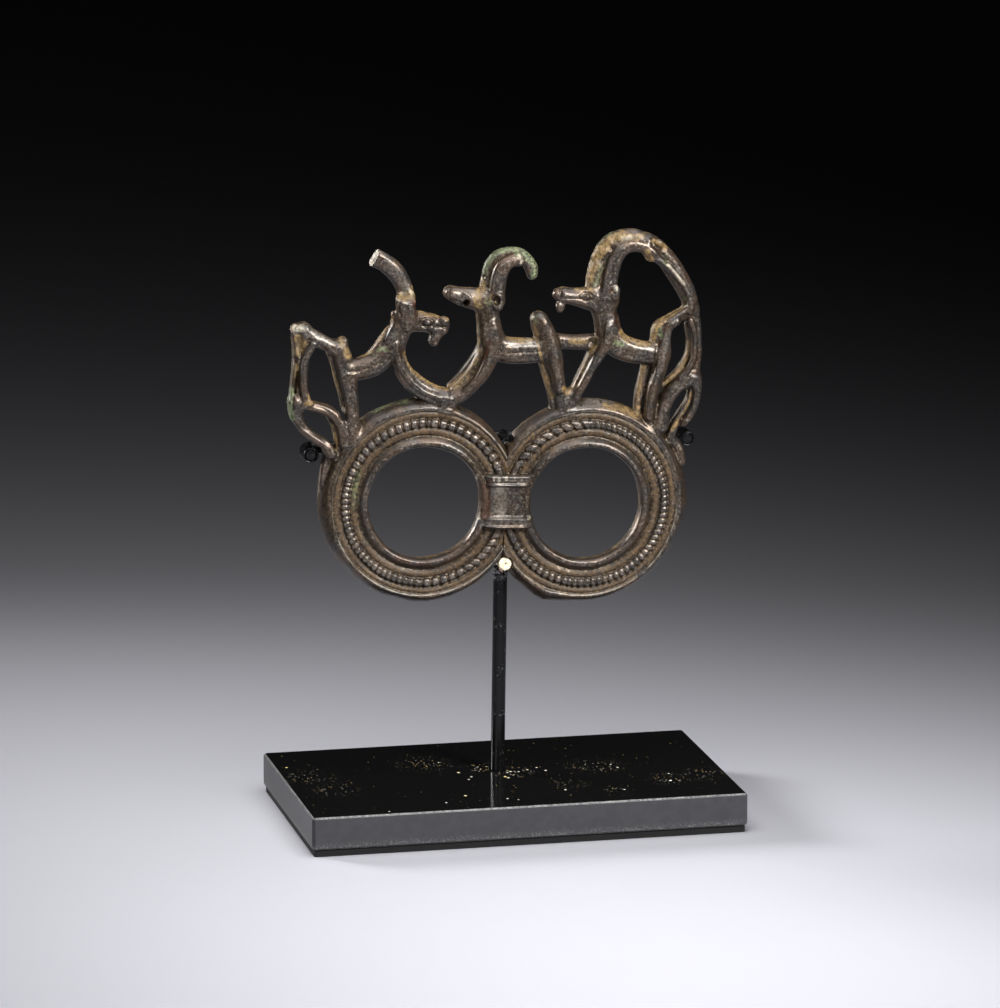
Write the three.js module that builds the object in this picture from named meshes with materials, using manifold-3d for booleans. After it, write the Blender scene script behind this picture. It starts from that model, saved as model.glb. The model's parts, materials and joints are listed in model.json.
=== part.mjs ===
// A cast bronze harness fitting with two rein rings, three ibexes and two beasts, on its display stand.
// Millimetres, +Z up. The origin is on the floor under the middle of the stand's base block.

import * as THREE from 'three';
import { mergeVertices } from 'three/addons/utils/BufferGeometryUtils.js';
import Module from 'manifold-3d';

const wasm = await Module();
wasm.setup();

// Driving dimensions
const GAP = 0.3;
const BASE_WIDTH = 127;
const BASE_DEPTH = 76.2;
const BASE_HEIGHT = 9.525;
const BASE_CHAMFER = 0.5;
const FELT_THICK = 2;
const FELT_INSET = 0.6;
const ROD_RADIUS = 1.3;
const SHEATH_RADIUS = 2.03;
const ROD_Y = 3.5;
const ROD_FOOT_X = -0.75;
const ROD_TOP_X = 0.05;
const ROD_TOP_Z = 68.1;
const ROD_SOCKET_DEPTH = 6.5;
const WIRE_RADIUS = 1.45;
const WIRE_Y = 4.7;
const THIN_WIRE_RADIUS = 0.95;
const SLEEVE_REACH = -5.4;

// The fitting leans a little to the right in its mount
const FITTING_X = -0.84;
const FITTING_Z = 93.07;
const FITTING_LEAN = THREE.MathUtils.degToRad(2.9);
const FRONT = -8.0;
const BACK = -2.0;
const FAR_FRONT = -4.5;
const NEAR_BACK = -4.8;
const RING_SPACING = 47.2;
const RING_BORE = 16.5;
const RING_STEPS = 60;
const ROLL_OFFSET = 0.9;
const COLLAR_X = 0.5;
const COLLAR_TOP = 8.1;
const COLLAR_BOTTOM = -6.9;

// Places of the four pegs that hold the fitting, as x and z, with their sleeves' radii
const PEGS = {
  left: { x: -56.9, z: 109.2, radius: 2.25 },
  right: { x: 53.3, z: 109.1, radius: 2.1 },
  upper: { x: 0.35, z: 111.65, radius: 1.3 },
  lower: { x: -0.7, z: 75.1, radius: 1.93 },
};

const BASE_BOTTOM = FELT_THICK;
const BASE_TOP = BASE_BOTTOM + BASE_HEIGHT;
const UP_Y = new THREE.Vector3(0, 1, 0);
const UP_Z = new THREE.Vector3(0, 0, 1);
const UP_X = new THREE.Vector3(1, 0, 0);

const BRONZE = { color: 0x4a3f33, roughness: 0.42, metalness: 0.85 };
const BRONZE_GREEN = { color: 0x6d7355, roughness: 0.6, metalness: 0.55 };
const BRONZE_BROWN = { color: 0x5c4128, roughness: 0.55, metalness: 0.7 };
const ACRYLIC = { color: 0x050506, roughness: 0.12, metalness: 0 };
const FELT = { color: 0x0b0b0c, roughness: 0.95, metalness: 0 };
const BLACK_COAT = { color: 0x08080a, roughness: 0.3, metalness: 0 };
const BARE_BRASS = { color: 0xb58a6a, roughness: 0.35, metalness: 1 };
const CREAM = { color: 0xd8cba0, roughness: 0.7, metalness: 0 };

function signedVolume(positions, index) {
  const a = new THREE.Vector3();
  const b = new THREE.Vector3();
  const c = new THREE.Vector3();
  let total = 0;
  for (let i = 0; i < index.length; i += 3) {
    a.fromArray(positions, index[i] * 3);
    b.fromArray(positions, index[i + 1] * 3);
    c.fromArray(positions, index[i + 2] * 3);
    total += a.dot(b.cross(c)) / 6;
  }
  return total;
}

// A closed three.js geometry as a solid for cutting and joining, with its faces turned out
function solidFrom(geometry) {
  const bare = geometry.clone();
  bare.deleteAttribute('normal');
  bare.deleteAttribute('uv');
  const welded = mergeVertices(bare, 1e-4);
  const positions = new Float32Array(welded.attributes.position.array);
  const faces = [];
  const index = welded.index.array;
  for (let i = 0; i < index.length; i += 3) {
    const [a, b, c] = [index[i], index[i + 1], index[i + 2]];
    if (a !== b && b !== c && c !== a) faces.push(a, b, c);
  }
  if (signedVolume(positions, faces) < 0) faces.reverse();
  const mesh = new wasm.Mesh({ numProp: 3, vertProperties: positions, triVerts: new Uint32Array(faces) });
  return new wasm.Manifold(mesh);
}

function geometryFrom(solid) {
  const mesh = solid.getMesh();
  const geometry = new THREE.BufferGeometry();
  geometry.setAttribute('position', new THREE.BufferAttribute(new Float32Array(mesh.vertProperties), 3));
  geometry.setIndex(new THREE.BufferAttribute(new Uint32Array(mesh.triVerts), 1));
  geometry.computeVertexNormals();
  return geometry;
}

function joined(solids) {
  return solids.reduce((whole, solid) => whole.add(solid));
}

// One ring of a sweep: a rounded rectangle with the half sizes side and rise about a point
function sectionPoints(centre, tangent, up, side, rise, sides, squareness) {
  const across = new THREE.Vector3().crossVectors(up, tangent).normalize();
  const over = new THREE.Vector3().crossVectors(tangent, across).normalize();
  const points = [];
  for (let i = 0; i < sides; i++) {
    const angle = ((i + 0.5) / sides) * Math.PI * 2;
    const cos = Math.cos(angle);
    const sin = Math.sin(angle);
    const u = Math.sign(cos) * Math.abs(cos) ** (2 / squareness) * side;
    const v = Math.sign(sin) * Math.abs(sin) ** (2 / squareness) * rise;
    points.push(centre.clone().addScaledVector(across, u).addScaledVector(over, v));
  }
  return points;
}

// Joins rings of points of equal count into one closed geometry with flat ends
function skin(rings) {
  const sides = rings[0].length;
  const positions = rings.flat().flatMap((p) => [p.x, p.y, p.z]);
  const index = [];
  for (let r = 0; r + 1 < rings.length; r++) {
    for (let i = 0; i < sides; i++) {
      const j = (i + 1) % sides;
      const [a, b] = [r * sides + i, r * sides + j];
      const [c, d] = [a + sides, b + sides];
      index.push(a, b, c, b, d, c);
    }
  }
  const last = (rings.length - 1) * sides;
  for (let i = 1; i + 1 < sides; i++) {
    index.push(0, i + 1, i);
    index.push(last, last + i, last + i + 1);
  }
  const geometry = new THREE.BufferGeometry();
  geometry.setAttribute('position', new THREE.Float32BufferAttribute(positions, 3));
  geometry.setIndex(index);
  return geometry;
}

// A sweep through stations of { at, side, rise }, with steps between two stations
function sweep(stations, up, sides, squareness, steps) {
  const curve = new THREE.CatmullRomCurve3(stations.map((s) => s.at), false, 'centripetal');
  const count = (stations.length - 1) * steps;
  const rings = [];
  for (let i = 0; i <= count; i++) {
    const place = (i / count) * (stations.length - 1);
    const k = Math.min(Math.floor(place), stations.length - 2);
    const t = place - k;
    const side = THREE.MathUtils.lerp(stations[k].side, stations[k + 1].side, t);
    const rise = THREE.MathUtils.lerp(stations[k].rise, stations[k + 1].rise, t);
    const u = i / count;
    rings.push(sectionPoints(curve.getPoint(u), curve.getTangent(u), up, side, rise, sides, squareness));
  }
  return skin(rings);
}

// Rounded ends: two smaller sections beyond each end of a limb
function roundedEnds(stations) {
  const tip = (end, next, reach, share) => {
    const out = end.at.clone().sub(next.at).normalize();
    const length = Math.min(end.side, end.rise) * reach;
    const at = end.at.clone().addScaledVector(out, length);
    return { at, side: end.side * share, rise: end.rise * share };
  };
  const [first, second] = stations;
  const [before, last] = stations.slice(-2);
  return [
    tip(first, second, 0.85, 0.45),
    tip(first, second, 0.5, 0.86),
    ...stations,
    tip(last, before, 0.5, 0.86),
    tip(last, before, 0.85, 0.45),
  ];
}

// A limb of the casting: points of [x, z, half width] in the fitting's plane, between two depths
function limb(points, { front = FRONT, back = BACK, sides = 10, flat = false } = {}, grow = 0) {
  const middle = (front + back) / 2;
  const half = (back - front) / 2 + grow;
  const stations = points.map(([x, z, width]) => ({
    at: new THREE.Vector3(x, middle, z),
    side: width + grow,
    rise: half,
  }));
  if (flat) {
    stretchEnds(stations, grow);
    return solidFrom(sweep(stations, UP_Y, sides, 3, 1));
  }
  return solidFrom(sweep(roundedEnds(stations), UP_Y, sides, 2.6, 1));
}

function stretchEnds(stations, grow) {
  const [first, second] = stations;
  const [before, last] = stations.slice(-2);
  const start = first.at.clone().sub(second.at).normalize();
  const end = last.at.clone().sub(before.at).normalize();
  first.at.addScaledVector(start, grow);
  last.at.addScaledVector(end, grow);
}

// A ring's inner section as [radius, depth]: bore, inner roll, groove, rib and groove
const RING_SECTION = [
  [RING_BORE + 1.6, BACK],
  [RING_BORE + 0.5, -4.6],
  [RING_BORE - 0.2, -7.4],
  [RING_BORE + 0.9, -8.4],
  [RING_BORE + 2.4, -8.3],
  [RING_BORE + 3.6, -7.6],
  [20.8, -6.8],
  [21.9, -7.6],
  [23.05, -8.1],
  [24.1, -7.6],
  [25.3, -6.9],
  [26.2, -7.4],
  [26.2, BACK],
];

// The outer roll is a second turned ring whose middle lies a little further out than the bore's
const ROLL_SECTION = [
  [22.0, BACK],
  [22.0, -5.4],
  [24.6, -6.7],
  [25.8, -7.9],
  [27.2, -8.0],
  [28.8, -7.0],
  [29.5, -5.4],
  [29.2, -3.6],
  [28.2, BACK],
];

function turned(section, x) {
  const points = section.map(([radius, depth]) => new THREE.Vector2(radius, depth));
  points.push(points[0].clone());
  return solidFrom(new THREE.LatheGeometry(points, RING_STEPS).translate(x, 0, 0));
}

function ringSolid(side) {
  const centre = (side * RING_SPACING) / 2;
  return turned(RING_SECTION, centre).add(turned(ROLL_SECTION, centre + side * ROLL_OFFSET));
}

// The ring's whole outline with the gap round it, for trimming the feet that stand on it
function ringRoom(side) {
  const grown = ROLL_SECTION.map(([radius, depth]) => [
    radius > 26 ? radius + GAP : radius - 3,
    depth > -3 ? depth + GAP : depth - GAP,
  ]);
  return turned(grown, (side * RING_SPACING) / 2 + side * ROLL_OFFSET);
}

function blockSolid(width, depth, height, x, y, z) {
  return solidFrom(new THREE.BoxGeometry(width, depth, height).translate(x, y, z));
}

function toFitting(x, z) {
  const dx = x - FITTING_X;
  const dz = z - FITTING_Z;
  const cos = Math.cos(FITTING_LEAN);
  const sin = Math.sin(FITTING_LEAN);
  return { x: dx * cos - dz * sin, z: dx * sin + dz * cos };
}

// Room for a peg's sleeve, right through the fitting, so that the fitting can slide off forwards
function pegRelief({ x, z, radius }) {
  const place = toFitting(x, z);
  const geometry = new THREE.CylinderGeometry(radius + GAP, radius + GAP, 40, 20);
  geometry.translate(place.x, 0, place.z);
  return solidFrom(geometry);
}

// Every element of the casting, in the order in which each gives way to those before it
const COLLAR = { front: -9.4, back: -1.5, sides: 24, flat: true };
const FAR = { front: FAR_FRONT, back: BACK, sides: 8 };
const NEAR = { back: NEAR_BACK };

function collarStations(heights) {
  return heights.map(([z, width]) => [COLLAR_X, z, width]);
}

const COLLAR_PIECES = {
  collar_barrel: [
    { points: collarStations([[-4.25, 7.0], [-2, 6.6], [2, 6.6], [4.25, 7.0]]), form: COLLAR },
  ],
  collar_upper_band: [
    {
      points: collarStations([[4.55, 8.0], [5.4, 8.4], [7.2, 8.4], [COLLAR_TOP, 8.0]]),
      form: { ...COLLAR, front: -9.8 },
    },
  ],
  collar_lower_band: [
    {
      points: collarStations([[COLLAR_BOTTOM, 7.5], [-6.1, 7.9], [-5.2, 7.9], [-4.55, 7.5]]),
      form: { ...COLLAR, front: -9.7 },
    },
  ],
};

const LEFT_IBEX = {
  left_ibex_body: [
    {
      points: [
        [-32.5, 50.4, 3.2], [-34.4, 47.0, 3.7], [-36.8, 43.2, 3.9], [-40.0, 40.0, 3.5], [-43.7, 38.6, 3.25],
        [-45.6, 38.2, 3.05],
      ],
    },
  ],
  left_ibex_horn_stump: [
    { points: [[-31.5, 54.0, 2.7], [-31.6, 58.2, 2.5]], form: { front: -9.0, back: -6.2 } },
  ],
  left_ibex_head: [
    { points: [[-31.0, 52.6, 3.3], [-27.2, 52.3, 2.9], [-23.6, 51.6, 2.6], [-20.4, 50.6, 2.7]] },
    { points: [[-20.9, 48.6, 2.1], [-21.5, 45.9, 1.6]], form: { front: -7.0, back: -3.2 } },
  ],
  left_ibex_horn: [
    {
      points: [
        [-31.2, 56.9, 2.7], [-31.7, 61.1, 2.6], [-33.2, 64.2, 2.6], [-35.3, 66.8, 2.6], [-38.0, 68.9, 2.6],
        [-40.3, 70.1, 2.7],
      ],
      form: { front: -5.9, back: -1.6 },
    },
  ],
  left_ibex_hindleg: [
    { points: [[-50.1, 44.3, 2.6], [-49.0, 40.8, 2.9], [-47.9, 37.0, 2.6], [-47.5, 35.4, 2.4]] },
    {
      points: [
        [-47.7, 36.4, 2.5], [-46.8, 32.2, 2.2], [-46.0, 27.5, 1.9], [-45.5, 23.0, 2.0], [-45.3, 19.6, 2.2],
      ],
      form: NEAR,
    },
    { points: [[-49.9, 44.6, 1.8], [-49.1, 46.2, 1.2]], form: { front: -7.4, back: -3 } },
  ],
  left_ibex_far_hindleg: [
    { points: [[-51.4, 39.4, 1.0], [-50.2, 35.2, 1.0], [-48.6, 30.4, 1.0], [-47.4, 25.6, 1.1]], form: FAR },
  ],
  left_ibex_foreleg: [
    {
      points: [
        [-33.0, 44.6, 1.8], [-32.3, 40.8, 2.2], [-30.2, 37.1, 2.5], [-27.2, 34.2, 2.6], [-23.5, 32.0, 2.5],
        [-20.2, 30.9, 2.2],
      ],
    },
  ],
  left_hooves: [
    { points: [[-18.4, 31.2, 1.5], [-18.2, 28.6, 2.4]] },
  ],
};

const LEFT_BEAST = {
  left_beast_body: [
    {
      points: [
        [-61.3, 49.2, 2.9], [-60.8, 46.0, 2.2], [-60.4, 41.0, 2.05], [-60.6, 36.8, 2.15], [-61.0, 32.6, 2.45],
        [-61.3, 28.4, 2.35],
      ],
    },
  ],
  left_beast_arm: [
    { points: [[-58.6, 47.9, 1.85], [-56.0, 46.1, 1.85], [-53.4, 44.9, 1.75], [-52.0, 44.4, 1.75]] },
  ],
  left_beast_outer_leg: [
    {
      points: [
        [-61.6, 26.2, 1.95], [-61.0, 23.2, 1.45], [-59.0, 20.6, 1.35], [-55.8, 18.1, 1.25], [-52.6, 16.2, 1.35],
        [-50.8, 14.2, 1.35],
      ],
      form: { sides: 8 },
    },
    { points: [[-51.2, 13.2, 1.35], [-52.3, 9.2, 1.25], [-52.8, 5.6, 1.15]], form: { front: -5.6, sides: 8 } },
  ],
  left_beast_inner_leg: [
    {
      points: [
        [-59.4, 27.6, 1.3], [-55.6, 27.3, 1.2], [-52.2, 26.0, 1.3], [-49.5, 23.6, 1.5], [-48.5, 20.4, 1.5],
        [-48.3, 17.4, 1.5],
      ],
      form: { sides: 8 },
    },
  ],
};

const MIDDLE_IBEX = {
  middle_ibex_body: [
    {
      points: [
        [-7.7, 55.4, 3.35], [-6.9, 51.8, 3.25], [-6.2, 48.4, 3.55], [-4.4, 45.3, 3.75], [-1.0, 44.0, 3.65],
        [3.2, 44.0, 3.65], [7.0, 44.4, 3.45],
      ],
    },
  ],
  middle_ibex_head: [
    {
      points: [
        [-6.4, 58.6, 3.5], [-9.4, 58.4, 3.5], [-12.4, 58.6, 3.0], [-15.6, 59.4, 2.3], [-18.2, 60.0, 2.0],
      ],
    },
  ],
  middle_ibex_horn: [
    {
      points: [
        [-6.1, 61.8, 3.8], [-5.7, 65.2, 3.6], [-4.7, 68.2, 3.4], [-2.7, 70.4, 3.2], [0.5, 71.1, 2.9],
        [3.6, 69.6, 2.5], [5.1, 67.3, 2.1], [5.4, 65.9, 1.8],
      ],
    },
  ],
  middle_ibex_ear: [
    { points: [[-4.3, 59.2, 1.85], [-4.4, 57.2, 1.85]], form: { front: -9.3, back: -6.6 } },
  ],
  middle_ibex_hindleg: [
    {
      points: [[7.8, 53.4, 2.0], [8.7, 51.2, 2.7], [10.2, 47.6, 3.1], [11.6, 44.2, 2.8], [12.5, 41.6, 2.4]],
    },
    {
      points: [
        [12.4, 42.2, 2.45], [13.4, 38.1, 1.95], [14.0, 34.7, 1.75], [14.9, 31.4, 1.85], [15.6, 29.8, 1.9],
      ],
      form: NEAR,
    },
  ],
  middle_ibex_far_hindleg: [
    { points: [[9.4, 40.9, 1.1], [10.5, 37.1, 1.0], [11.5, 33.7, 1.0], [12.7, 30.1, 1.1]], form: FAR },
  ],
  middle_ibex_foreleg: [
    {
      points: [
        [-6.3, 42.4, 2.35], [-7.4, 39.6, 2.05], [-8.8, 36.8, 1.85], [-10.9, 34.2, 1.75], [-13.4, 31.9, 1.75],
        [-16.0, 30.0, 1.85],
      ],
      form: NEAR,
    },
  ],
  middle_ibex_far_foreleg: [
    {
      points: [
        [-8.9, 42.9, 1.0], [-10.7, 40.1, 1.0], [-12.8, 36.9, 1.0], [-15.1, 34.3, 1.0], [-17.0, 32.6, 1.1],
      ],
      form: FAR,
    },
  ],
};

const RIGHT_IBEX = {
  right_ibex_body: [
    {
      points: [
        [26.4, 55.8, 3.55], [27.4, 52.8, 3.55], [28.3, 49.6, 3.65], [30.3, 46.4, 3.65], [33.9, 44.7, 3.45],
        [37.9, 43.8, 3.25], [41.0, 43.5, 3.05],
      ],
    },
  ],
  right_ibex_head: [
    {
      points: [
        [27.2, 58.9, 3.5], [23.8, 59.0, 3.4], [20.3, 59.5, 2.8], [16.9, 59.9, 2.2], [14.1, 60.4, 2.1],
      ],
    },
    { points: [[14.4, 58.4, 1.75], [14.5, 56.9, 1.65]], form: { front: -7.0, back: -3.6 } },
  ],
  right_ibex_horn: [
    {
      points: [
        [25.3, 63.3, 4.2], [25.6, 67.2, 4.1], [26.5, 71.3, 3.9], [28.5, 74.6, 3.7], [31.2, 76.7, 3.5],
        [34.4, 77.2, 3.2], [37.4, 76.2, 2.7],
      ],
    },
    { points: [[38.1, 74.6, 1.95], [39.0, 71.8, 1.45]], form: { front: -7.2, back: -3.2 } },
  ],
  right_ibex_ear: [
    { points: [[29.6, 61.8, 1.55], [29.4, 60.0, 1.55]], form: { front: -9.0, back: -6.0 } },
  ],
  right_ibex_hindleg: [
    {
      points: [
        [43.2, 50.2, 2.35], [44.3, 46.9, 2.75], [44.5, 43.4, 2.75], [43.9, 39.9, 2.35], [43.2, 36.4, 1.95],
        [42.2, 32.4, 1.75], [41.6, 28.4, 1.65], [41.8, 24.8, 1.95], [42.6, 22.2, 2.15],
      ],
    },
  ],
  right_ibex_far_hindleg: [
    { points: [[39.9, 39.1, 1.3], [39.2, 34.9, 1.1], [38.4, 30.9, 1.1], [38.0, 26.9, 1.2]], form: FAR },
  ],
  right_ibex_foreleg: [
    {
      points: [
        [25.2, 44.6, 2.2], [23.7, 41.4, 1.9], [22.2, 38.3, 1.8], [20.9, 35.3, 1.75], [19.6, 32.3, 1.75],
        [18.8, 30.4, 1.9],
      ],
    },
  ],
  right_hooves: [
    { points: [[17.0, 30.6, 1.4], [17.2, 28.4, 2.6]] },
  ],
};

const TIE_BAR = {
  tie_bar: [{ points: [[13.3, 46.6, 2.1], [24.1, 46.4, 2.1]], form: { front: -5.0, back: -1.8 } }],
};

const RIGHT_BEAST = {
  right_beast_body: [
    {
      points: [
        [52.9, 55.4, 2.05], [53.7, 51.4, 1.75], [54.1, 47.4, 1.65], [54.1, 43.4, 1.85], [53.8, 39.9, 2.15],
        [53.7, 36.6, 2.35],
      ],
    },
  ],
  right_beast_neck: [
    {
      points: [
        [40.9, 74.2, 2.45], [43.4, 71.4, 2.75], [46.4, 67.8, 2.75], [49.2, 63.9, 2.55], [51.3, 60.0, 2.25],
        [52.2, 57.6, 2.15],
      ],
    },
  ],
  right_beast_arm: [
    { points: [[45.6, 52.3, 1.95], [47.2, 53.3, 1.85], [49.2, 54.5, 1.75], [50.8, 55.3, 1.75]] },
  ],
  right_beast_thigh: [
    {
      points: [
        [51.8, 35.6, 2.05], [49.8, 34.6, 1.85], [48.0, 32.8, 1.75], [46.4, 30.2, 1.75], [45.4, 26.9, 1.85],
        [45.0, 23.6, 1.85],
      ],
    },
  ],
  right_beast_leg: [
    {
      points: [[54.9, 33.4, 1.4], [54.5, 28.6, 1.2], [52.6, 24.9, 1.1], [50.1, 21.8, 1.0], [49.2, 19.6, 1.0]],
      form: { sides: 8 },
    },
    { points: [[49.4, 18.8, 1.25], [50.8, 15.6, 1.15], [52.1, 12.0, 1.15]], form: { front: -5.6, sides: 8 } },
  ],
};

const ANIMALS = { ...LEFT_IBEX, ...LEFT_BEAST, ...MIDDLE_IBEX, ...RIGHT_IBEX, ...TIE_BAR, ...RIGHT_BEAST };

function limbsSolid(limbs, grow = 0) {
  return joined(limbs.map(({ points, form }) => limb(points, form, grow)));
}

function makeMesh(name, geometry, finish) {
  const mesh = new THREE.Mesh(geometry, new THREE.MeshStandardMaterial(finish));
  mesh.name = name;
  return mesh;
}

// The two rings stop at the collar, which wraps round the bridge between their bores
function rings(reliefs) {
  const height = COLLAR_TOP - COLLAR_BOTTOM + 2 * GAP;
  const collarRoom = blockSolid(18.6, 40, height, 0, 0, (COLLAR_TOP + COLLAR_BOTTOM) / 2);
  const meshes = [];
  for (const [name, side, finish] of [['left_ring', -1, BRONZE], ['right_ring', 1, BRONZE_BROWN]]) {
    const otherSide = blockSolid(60, 40, 80, -side * (30 - GAP / 2), 0, 0);
    let solid = ringSolid(side).subtract(otherSide).subtract(collarRoom);
    for (const relief of reliefs) solid = solid.subtract(relief);
    meshes.push(makeMesh(name, geometryFrom(solid), finish));
  }
  return meshes;
}

function buildFitting() {
  const fitting = new THREE.Group();
  const reliefs = Object.values(PEGS).map(pegRelief);
  fitting.add(...rings(reliefs));
  for (const [name, limbs] of Object.entries(COLLAR_PIECES)) {
    fitting.add(makeMesh(name, geometryFrom(limbsSolid(limbs)), BRONZE_BROWN));
  }
  const taken = [ringRoom(-1), ringRoom(1), ...reliefs];
  for (const [name, limbs] of Object.entries(ANIMALS)) {
    let solid = limbsSolid(limbs);
    for (const other of taken) solid = solid.subtract(other);
    taken.push(limbsSolid(limbs, GAP));
    fitting.add(makeMesh(name, geometryFrom(solid), name.endsWith('horn') ? BRONZE_GREEN : BRONZE));
  }
  fitting.position.set(FITTING_X, 0, FITTING_Z);
  fitting.rotation.y = FITTING_LEAN;
  return fitting;
}

function wire(name, points, radius, up, finish, sides = 12) {
  const stations = points.map((point) => {
    const at = new THREE.Vector3(...point);
    return { at, side: radius, rise: radius };
  });
  return makeMesh(name, sweep(stations, up, sides, 2, 2), finish);
}

// A sleeve over a peg's front end, as a tube along Y with an open or a closed front
function sleeve(name, { x, z, radius }, bore, back, front, closed, finish) {
  const inner = closed ? front + 1 : front;
  const profile = [
    [bore, back], [radius, back], [radius, front + 0.25], [radius - 0.25, front],
    ...(closed ? [[0, front], [0, inner], [bore, inner]] : [[bore, front]]),
    [bore, back],
  ];
  const points = profile.map(([r, y]) => new THREE.Vector2(r, y));
  const geometry = geometryFrom(solidFrom(new THREE.LatheGeometry(points, 24)));
  geometry.translate(x, 0, z);
  return makeMesh(name, geometry, finish);
}

function chamferedRectangle(width, depth, corner) {
  const shape = new THREE.Shape();
  const [w, d] = [width / 2, depth / 2];
  shape.moveTo(-w + corner, -d);
  shape.lineTo(w - corner, -d);
  shape.lineTo(w, -d + corner);
  shape.lineTo(w, d - corner);
  shape.lineTo(w - corner, d);
  shape.lineTo(-w + corner, d);
  shape.lineTo(-w, d - corner);
  shape.lineTo(-w, -d + corner);
  shape.closePath();
  return shape;
}

function rodAt(z) {
  const share = (z - BASE_TOP) / (ROD_TOP_Z - BASE_TOP);
  return new THREE.Vector3(THREE.MathUtils.lerp(ROD_FOOT_X, ROD_TOP_X, share), ROD_Y, z);
}

function rodSolid(radius, bottom, top, sides) {
  const stations = [rodAt(bottom), rodAt(top)].map((at) => ({ at, side: radius, rise: radius }));
  return solidFrom(sweep(stations, UP_Y, sides, 2, 1));
}

function buildBase() {
  const pad = new THREE.ExtrudeGeometry(
    chamferedRectangle(BASE_WIDTH - 2 * FELT_INSET, BASE_DEPTH - 2 * FELT_INSET, BASE_CHAMFER),
    { depth: FELT_THICK - GAP, bevelEnabled: false },
  );
  const edge = BASE_CHAMFER;
  const block = new THREE.ExtrudeGeometry(
    chamferedRectangle(BASE_WIDTH - 2 * edge, BASE_DEPTH - 2 * edge, edge),
    {
      depth: BASE_HEIGHT - 2 * edge,
      bevelEnabled: true,
      bevelThickness: edge,
      bevelSize: edge,
      bevelSegments: 1,
    },
  );
  block.translate(0, 0, BASE_BOTTOM + edge);
  const socketBottom = BASE_TOP - ROD_SOCKET_DEPTH - GAP;
  const socket = rodSolid(ROD_RADIUS + GAP, socketBottom, BASE_TOP + 5, 20);
  return [
    makeMesh('felt_pad', pad, FELT),
    makeMesh('base_block', geometryFrom(solidFrom(block).subtract(socket)), ACRYLIC),
  ];
}

function buildRod() {
  const rod = rodSolid(ROD_RADIUS, BASE_TOP - ROD_SOCKET_DEPTH, ROD_TOP_Z, 16);
  const outside = rodSolid(SHEATH_RADIUS, BASE_TOP + GAP, ROD_TOP_Z + GAP, 20);
  const inside = rodSolid(ROD_RADIUS + GAP, BASE_TOP - 2, ROD_TOP_Z + 3, 20);
  return [
    makeMesh('mount_rod', geometryFrom(rod), BLACK_COAT),
    makeMesh('rod_sheath', geometryFrom(outside.subtract(inside)), BLACK_COAT),
  ];
}

function buildWires() {
  const { left, right, upper, lower } = PEGS;
  const end = SLEEVE_REACH + 0.6;
  const stemBottom = ROD_TOP_Z + 2 * GAP;
  const stemY = ROD_Y - 1.05;
  const spineY = stemY + 2 * THIN_WIRE_RADIUS + GAP;
  return [
    wire('cross_wire', [
      [left.x, end, left.z], [left.x, 1.5, left.z], [left.x + 0.5, 3.6, left.z],
      [left.x + 2.8, WIRE_Y, left.z], [-28, WIRE_Y, 110.0], [0, WIRE_Y, 110.3], [28, WIRE_Y, 109.4],
      [right.x - 3.4, WIRE_Y, 108.6], [right.x - 0.8, 3.6, 109.2], [right.x, 1.5, right.z],
      [right.x, end, right.z],
    ], WIRE_RADIUS, UP_Z, BLACK_COAT),
    wire('spine_wire', [
      [-0.3, spineY, stemBottom], [-0.2, spineY, 90], [0, spineY, 110.3 - WIRE_RADIUS - GAP],
    ], THIN_WIRE_RADIUS, UP_Y, BLACK_COAT),
    wire('upper_peg', [
      [upper.x, WIRE_Y - WIRE_RADIUS - GAP, upper.z], [upper.x, 0, upper.z], [upper.x, end, upper.z],
    ], 0.75, UP_Z, BLACK_COAT),
    wire('lower_peg', [
      [0.1, stemY, stemBottom], [0, stemY, lower.z - 2.2], [-0.2, stemY - 0.4, lower.z - 0.6],
      [-0.45, stemY - 1.5, lower.z], [lower.x, 0, lower.z], [lower.x, end - 0.6, lower.z],
    ], THIN_WIRE_RADIUS, UP_X, BARE_BRASS),
  ];
}

function buildSleeves() {
  const { left, right, upper, lower } = PEGS;
  const bore = WIRE_RADIUS + GAP;
  return [
    sleeve('left_sleeve', left, bore, 1.2, SLEEVE_REACH, false, BLACK_COAT),
    sleeve('right_sleeve', right, bore, 1.2, SLEEVE_REACH, false, BLACK_COAT),
    sleeve('upper_sleeve', upper, 1.05, 1.8, SLEEVE_REACH, false, BLACK_COAT),
    sleeve('lower_sleeve', lower, THIN_WIRE_RADIUS + GAP, 0.8, SLEEVE_REACH - 1.3, true, CREAM),
  ];
}

const object = new THREE.Group();
object.add(...buildBase(), ...buildRod(), ...buildWires(), ...buildSleeves(), buildFitting());

export default object;
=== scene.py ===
"""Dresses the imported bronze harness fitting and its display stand."""
import json
import math

import bpy
import numpy as np
from mathutils import Matrix, Vector

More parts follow.
